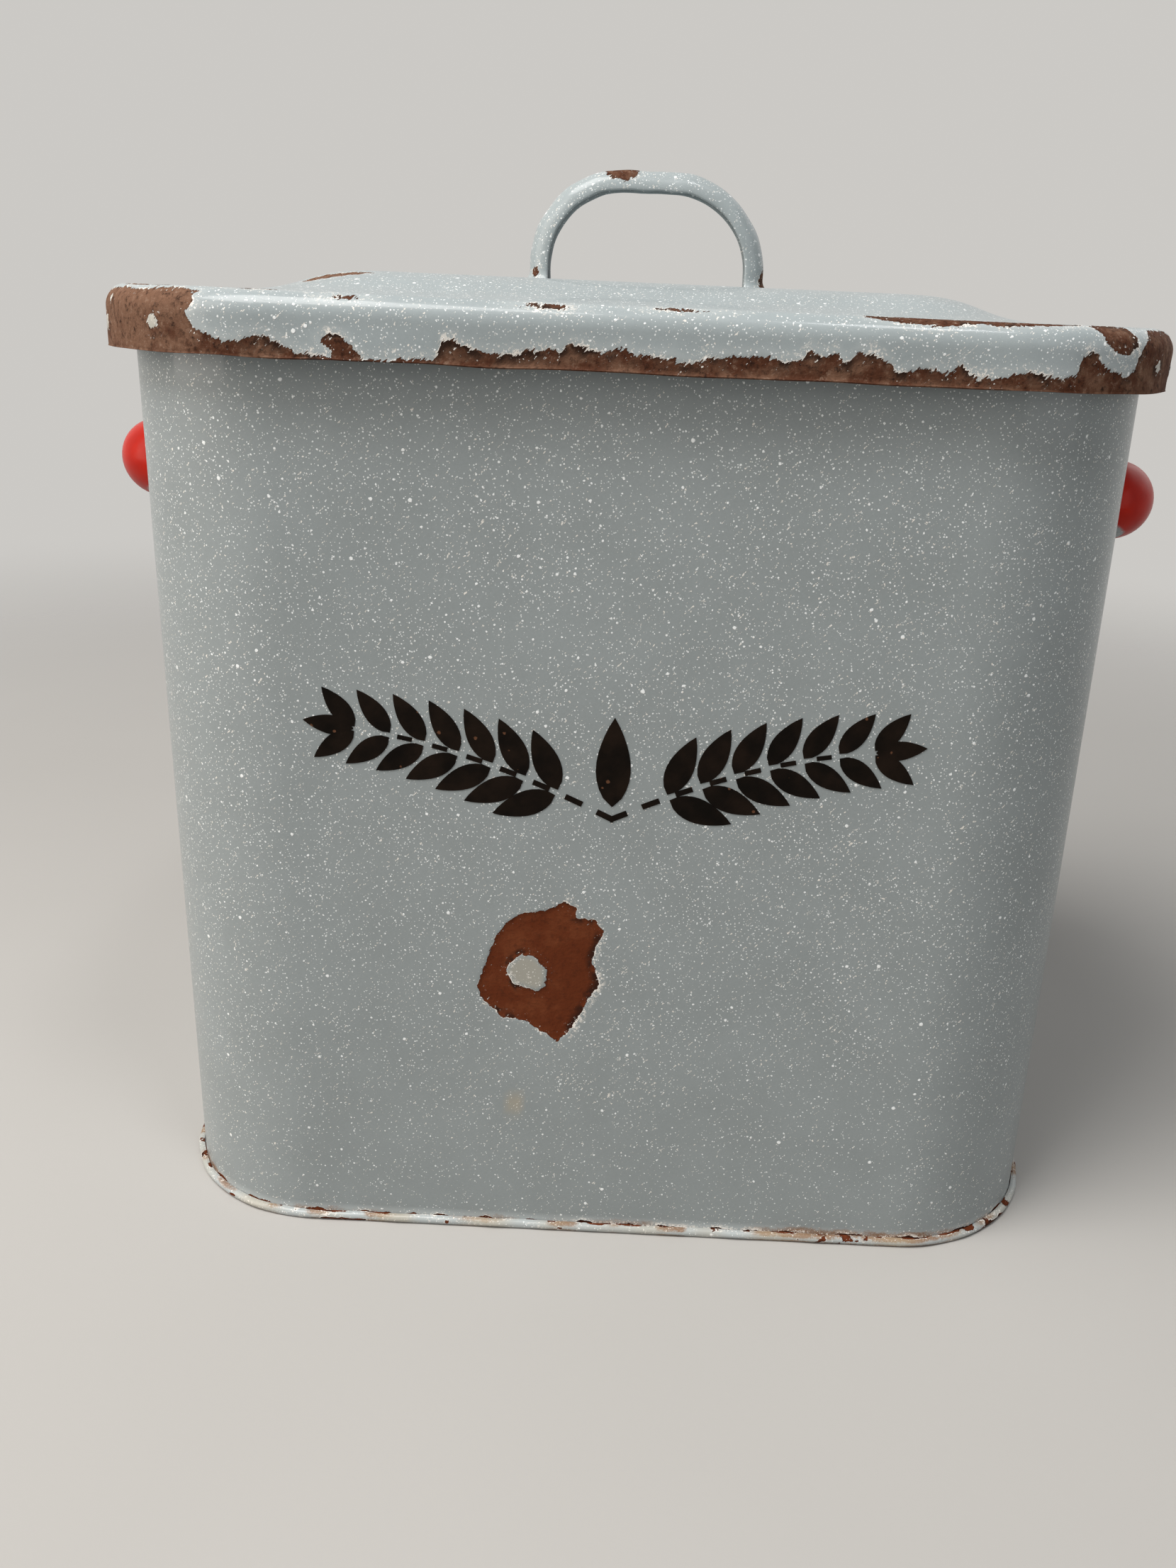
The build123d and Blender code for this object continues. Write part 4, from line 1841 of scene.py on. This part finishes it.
@dataclass
class LidHandle:
    """The half-round strap arch on the lid, run into the panel by thick enamel."""

    half_span: float = 37.0
    rise: float = 32.5
    bend: float = 27.6
    radius: float = 6.5
    thickness: float = STRAP
    foot_level: float = LEDGE_TOP + PANEL_RISE
    step: float = 0.9
    flare: float = 1.7
    flare_height: float = 3.6
    flare_slack: float = 0.2
    waver: tuple[Ripple, ...] = tuple(Ripple(14.0, seed, 0.12) for seed in (50, 51, 52))
    waver_from: Point2 = (0.5, 8.0)
    pale: float = 0.06
    stain: float = 0.25
    nicks: tuple[Oval, ...] = (
        Oval((-9.8, -2.0, 371.6), (6.2, 5.6, 4.2), 4.0), Oval((44.0, -1.5, 335.0), (3.2, 4.6, 6.2), 3.0),
        Oval((-41.2, -5.6, 337.0), (1.7, 2.0, 1.9), 1.4), Oval((22.0, 3.0, 371.0), (5.0, 3.0, 2.6), 2.0),
        Oval((-33.0, 0.0, 357.5), (2.2, 2.0, 3.5), 1.2))

    def build(self, carrier: SectionCarrier, finishes: Finishes) -> bpy.types.Object:
        """Make the arch and hand it to the lid.

        Args:
            carrier: Tree that carries the section along the arch.
            finishes: Finishes to dress it with.

        Returns:
            The handle.
        """
        end, top = self.half_span, self.rise
        path = ((end, 0.0), (end, top), (-end, top), (-end, 0.0))
        section = half_round(self.radius, self.thickness)
        sheet = carrier.carry(path, False, section, self.bend, self.step, finishes.lid_grey)
        across, up, deep = sheet.points.T
        points = np.column_stack((across, -deep, up + self.foot_level))
        waver = np.column_stack([ripple.at(points) for ripple in self.waver])
        points += waver * smooth_step(*self.waver_from, up)[:, None]
        points[:, :2] += self._flared(points, up)
        bare = np.full(len(points), FAR)
        for nick in self.nicks:
            bare = np.maximum(bare, nick.depth(points))
        sheet.points = points
        fields = {"wear": bounded(bare), "stain": self.stain * smooth_step(*BESIDE_CHIP, bare),
                  "pale": np.full(len(points), self.pale)}
        piece = sheet.piece("lid_arch_handle", finishes.lid_grey, fields)
        fit(piece, Body.LID, "lid_handle")
        return piece

    def _flared(self, points: Array, up: Array) -> Array:
        """Spread the strap's outer face at its feet, where the enamel is thick.

        Args:
            points: Points in millimetres.
            up: Height above the panel.

        Returns:
            Level movement of each point.
        """
        low = np.clip(1.0 - up / self.flare_height, 0.0, 1.0) ** 2
        away = np.column_stack((points[:, 0] - np.sign(points[:, 0]) * self.half_span, points[:, 1]))
        reach = np.linalg.norm(away, axis=1)
        inner_face = self.radius - self.thickness
        outer = smooth_step(inner_face + self.flare_slack, self.radius - self.flare_slack, reach)
        return away / np.maximum(reach, TINY)[:, None] * (self.flare * low * outer)[:, None]


@dataclass
class SideHandle:
    """A half-round strap loop on the bin's side, red over the grip and grey at its feet."""

    side: Side
    wall: float = BODY.width / 2.0
    half_length: float = 33.0
    reach: float = 14.0
    bend: float = 11.2
    radius: float = 14.0
    thickness: float = STRAP
    height: float = BODY_HEIGHT - GRIP_DROP
    step: float = 0.8
    foot_share: float = 0.68
    foot_depth: float = 0.55
    foot_drop: float = 3.0
    pad_middle: float = 40.0
    pad_half: Point2 = (9.0, 13.5)
    pad_points: int = 48
    pad_swell: tuple[Point2, ...] = (
        (1.0, 0.0), (1.0, 0.25), (0.93, 0.55), (0.84, 0.95), (0.74, 1.5), (0.64, 2.2), (0.54, 3.2),
        (0.30, 3.7))

    # Underside of the legs, which the red coat doesn't reach
    grey_reach: float = 9.0
    grey_leg: Point2 = (-2.0, 6.0)
    grey_below: Point2 = (4.0, 11.0)

    def build(self, carrier: SectionCarrier, finishes: Finishes) -> bpy.types.Object:
        """Make the loop and its feet and hand them to the bin.

        Args:
            carrier: Tree that carries the section round the loop.
            finishes: Finishes to dress it with.

        Returns:
            The handle.
        """
        end = self.half_length
        path = ((0.0, -end), (self.reach, -end), (self.reach, end), (0.0, end))
        section = half_round(self.radius, self.thickness)
        loop = self._narrowed(carrier.carry(path, False, section, self.bend, self.step, finishes.red))
        for direction in (-1.0, 1.0):
            loop = loop.joined(self._foot(direction))
        out, y, up = loop.points.T
        leg = smooth_step(*self.grey_leg, np.abs(y) - self.half_length)
        fields = {"from_wall": out - self.grey_reach * leg * smooth_step(*self.grey_below, -up)}
        loop.points = np.column_stack((self.side.value * (self.wall + out), y, up + self.height))
        name = self.side.name.lower()
        piece = loop.piece(f"{name}_grip", finishes.red, fields)
        fit(piece, Body.BIN, f"{name}_side_handle")
        return piece

    def _narrowed(self, loop: SheetMesh) -> SheetMesh:
        """Narrow the loop's legs towards the wall and drop them a little.

        Args:
            loop: The loop as it was carried round, lying level.

        Returns:
            The loop with its legs drawn in.
        """
        out, y, up = loop.points.T
        grown = smooth_step(0.0, self.reach, out)
        share = self.foot_share + (1.0 - self.foot_share) * grown
        depth = self.foot_depth + (1.0 - self.foot_depth) * grown
        crown = self.half_length + self.radius
        drawn = np.sign(y) * (crown - (crown - np.abs(y)) * depth)
        leg = (np.abs(y) > self.half_length) & (out < self.reach)
        up = up * share - self.foot_drop * (1.0 - grown)
        return SheetMesh(np.column_stack((out, np.where(leg, drawn, y), up)), loop.faces)

    def _foot(self, direction: float) -> SheetMesh:
        """Make one welded foot: an oval pad that swells up to the strap.

        Args:
            direction: Which end of the loop it stands at, -1 or 1 along Y.

        Returns:
            The pad.
        """
        turn = np.linspace(0.0, 2.0 * math.pi, self.pad_points, endpoint=False)
        middle = np.array((direction * self.pad_middle, -self.foot_drop))
        rim = arc((0.0, 0.0), 1.0, turn) * np.array(self.pad_half)
        return ring_skin([np.column_stack((np.full(len(rim), lift), middle + rim * size))
                          for size, lift in self.pad_swell])


@dataclass
class Ornament:
    """Two mirrored ears of wheat on the front, put on through a stencil.

    It is drawn flat, as places across and up from its middle.
    """

    wall: Wall
    middle: Point2 = (-1.7, 186.0)
    grains: int = 8
    grain_length: float = 23.0
    grain_width: float = 9.2
    grain_points: int = 11
    grain_gap: float = 1.6
    grain_foot: float = 0.8
    grain_fullness: float = 0.85
    lean: float = 0.76
    stem: tuple[Point2, Point2, Point2] = ((7.0, -17.0), (48.0, 3.0), (84.0, 7.0))
    stem_points: int = 40
    stalk_ends: Point2 = (-8.6, -2.2)
    stalk_half: float = 1.0
    lozenge_size: Point2 = (1.25, 1.35)
    lozenge_foot: float = -16.0
    proud: float = 0.18
    sunk: float = 0.30

    def build(self, finishes: Finishes) -> bpy.types.Object:
        """Make the ornament and hand it to the bin.

        Args:
            finishes: Finishes to dress it with.

        Returns:
            The ornament.
        """
        ear = self._ear(finishes.black)
        mirrored = SheetMesh(ear.points * np.array((-1.0, 1.0, 1.0)), ear.faces)
        whole = ear.joined(mirrored).joined(self._lozenge())
        across, up, lift = whole.points.T
        front = np.full(len(across), self.wall.front)
        placed = np.column_stack((across + self.middle[0], front, up + self.middle[1]))
        placed[:, 1] += self.wall.uneven(placed) - lift
        whole.points = placed
        piece = whole.piece("front_wheat_stencil", finishes.black, {})
        fit(piece, Body.BIN)
        return piece

    def _plate(self, outline: Array) -> SheetMesh:
        """Make one thin stencilled patch from its outline."""
        return ring_skin((raised(outline, -self.sunk), raised(outline, self.proud)))

    def _leaf(self) -> Array:
        """Draw one grain, pointed at both ends and fuller towards its foot.

        Returns:
            Its outline as pairs of length and width.
        """
        run = np.linspace(0.0, 1.0, self.grain_points)
        swell = self.grain_width / 2.0 * np.sin(math.pi * run**self.grain_foot) ** self.grain_fullness
        upper = np.column_stack((run * self.grain_length, swell))
        return np.concatenate((upper, (upper * (1.0, -1.0))[-2:0:-1]))

    def _lozenge(self) -> SheetMesh:
        """Make the single upright grain between the two ears."""
        upright = self._leaf()[:, ::-1] * np.array(self.lozenge_size)
        return self._plate(upright + np.array((0.0, self.lozenge_foot)))

    def _ear(self, finish: bpy.types.Material) -> SheetMesh:
        """Set grains and pieces of stalk along one curved stem.

        Args:
            finish: Material that the tree sets.

        Returns:
            The right-hand ear.
        """
        near, far = self.stalk_ends
        half = self.stalk_half
        bar = np.array(((near, -half), (far, -half), (far, half), (near, half)))
        leaf = self._leaf() + np.array((self.grain_gap, 0.0))
        grain = self._plate(leaf).piece("grain_help", finish, {})
        stalk = self._plate(bar).piece("stalk_help", finish, {})
        run = np.linspace(0.0, 1.0, self.stem_points)[:, None]
        first, pull, last = np.array(self.stem)
        curved = (1.0 - run) ** 2 * first + 2.0 * run * (1.0 - run) * pull + run**2 * last
        stem = helper_curve("stem_help", raised(curved, 0.0), False)
        values = {"Grain": grain, "Stalk": stalk, "Count": self.grains, "Lean": self.lean, "Finish": finish}
        ear = EarTree().run(stem, values)
        discard(grain, stalk, stem)
        return ear


# Studio


@dataclass(frozen=True)
class Lamp:
    """One large soft square lamp: places and size in metres, power in watts."""

    name: str
    place: Point3
    target: Point3
    size: float
    power: float
    tint: Point3 = (1.0, 1.0, 1.0)

    def hang(self) -> None:
        """Hang the lamp and point it at its target."""
        light = bpy.data.lights.new(self.name, "AREA")
        light.shape = "SQUARE"
        light.size = self.size
        light.energy = self.power
        light.color = self.tint
        made = linked(self.name, light)
        made.location = self.place
        made.rotation_euler = (Vector(self.target) - Vector(self.place)).to_track_quat("-Z", "Y").to_euler()


@dataclass
class Studio:
    """The pale floor, the soft lamps and the camera.

    The eye is in millimetres, the turns in radians and the lens in pixels of the photograph.
    """

    eye: Point3 = (11.94, -521.7, 324.94)
    yaw: float = -0.0076
    pitch: float = 0.3491
    roll: float = 0.0443
    focal: float = 1832.7
    centre_shift: float = 80.4
    image_height: float = 2212.0
    sensor: float = 36.0
    nearest: float = 0.01
    floor_half: float = 6.0
    room_light: float = 0.19
    room_white: Colour = (1.0, 1.0, 1.0, 1.0)
    room_wall: Colour = (0.60, 0.585, 0.56, 1.0)
    lamps: tuple[Lamp, ...] = (
        Lamp("ceiling_lamp", (-0.72, -0.62, 1.95), (0.0, -0.10, 0.25), 1.0, 45.8, (1.0, 0.98, 0.957)),
        Lamp("second_ceiling_lamp", (0.36, -0.62, 1.95), (0.0, -0.10, 0.25), 0.3, 6.0),
        Lamp("left_lamp", (-1.60, -0.75, 0.85), (0.0, 0.0, 0.2), 1.4, 24.3, (1.0, 0.917, 0.833)),
        Lamp("right_lamp", (1.55, -1.30, 0.80), (0.0, 0.0, 0.2), 1.4, 7.0),
        Lamp("rear_lamp", (1.5, 1.2, 1.3), (0.0, 0.0, 0.2), 1.6, 5.0))

    def build(self) -> None:
        """Set up the floor, the light and the camera."""
        self._floor()
        self._world()
        for lamp in self.lamps:
            lamp.hang()
        self._camera()
        bpy.context.scene.view_settings.view_transform = "Standard"

    def _floor(self) -> None:
        """Lay the floor that the bin stands on."""
        half = self.floor_half
        corners = [(-half, -half, 0.0), (half, -half, 0.0), (half, half, 0.0), (-half, half, 0.0)]
        mesh = bpy.data.meshes.new("studio_floor")
        mesh.from_pydata(corners, [], [(0, 1, 2, 3)])
        mesh.materials.append(PaleGround().material())
        linked("studio_floor", mesh)

    def _world(self) -> None:
        """Light the room softly and show a pale wall to the eye and in reflections."""
        world = bpy.data.worlds.new("studio_room")
        world.use_nodes = True
        world.node_tree.nodes.clear()
        graph = Graph(world.node_tree)
        path = graph.node("ShaderNodeLightPath").outputs
        seen, mirrored, through = (
            Wire(graph, path[f"Is {kind} Ray"]) for kind in ("Camera", "Glossy", "Transmission"))
        shown = seen.most(mirrored).most(through)
        soft = graph.wire("ShaderNodeBackground", None,
                          {"Color": self.room_white, "Strength": self.room_light})
        wall = graph.wire("ShaderNodeBackground", None, {"Color": self.room_wall, "Strength": 1.0})
        mixed = graph.wire("ShaderNodeMixShader", None, {0: shown, 1: soft, 2: wall})
        graph.node("ShaderNodeOutputWorld", None, {"Surface": mixed})
        bpy.context.scene.world = world

    def _camera(self) -> None:
        """Put the camera where the photograph was taken from."""
        ahead = Vector((math.sin(self.yaw), math.cos(self.yaw), 0.0))
        aside = Vector((math.cos(self.yaw), -math.sin(self.yaw), 0.0))
        upright = Vector((0.0, 0.0, 1.0))
        forward = math.cos(self.pitch) * ahead - math.sin(self.pitch) * upright
        above = math.sin(self.pitch) * ahead + math.cos(self.pitch) * upright
        right = math.cos(self.roll) * aside + math.sin(self.roll) * above
        up = math.cos(self.roll) * above - math.sin(self.roll) * aside
        lens = bpy.data.cameras.new("photo_camera")
        lens.sensor_width = self.sensor
        lens.lens = self.focal / self.image_height * self.sensor
        lens.shift_x = -self.centre_shift / self.image_height
        lens.clip_start = self.nearest
        camera = linked("photo_camera", lens)
        turn = Matrix((right, up, -forward)).transposed().to_4x4()
        camera.matrix_world = Matrix.Translation(Vector(self.eye) * MM) @ turn
        bpy.context.scene.camera = camera


def main() -> None:
    """Build the pieces in order and stand them in the studio."""
    logging.basicConfig(level=logging.INFO, format="%(name)s %(message)s")
    finishes = Finishes.mixed()
    carrier = SectionCarrier()
    wall = Wall()
    wall.build(carrier, finishes)
    Base().build(finishes)
    Lid().build(finishes)
    LidHandle().build(carrier, finishes)
    for side in Side:
        SideHandle(side).build(carrier, finishes)
    Ornament(wall).build(finishes)
    Studio().build()


if __name__ == "__main__":
    main()
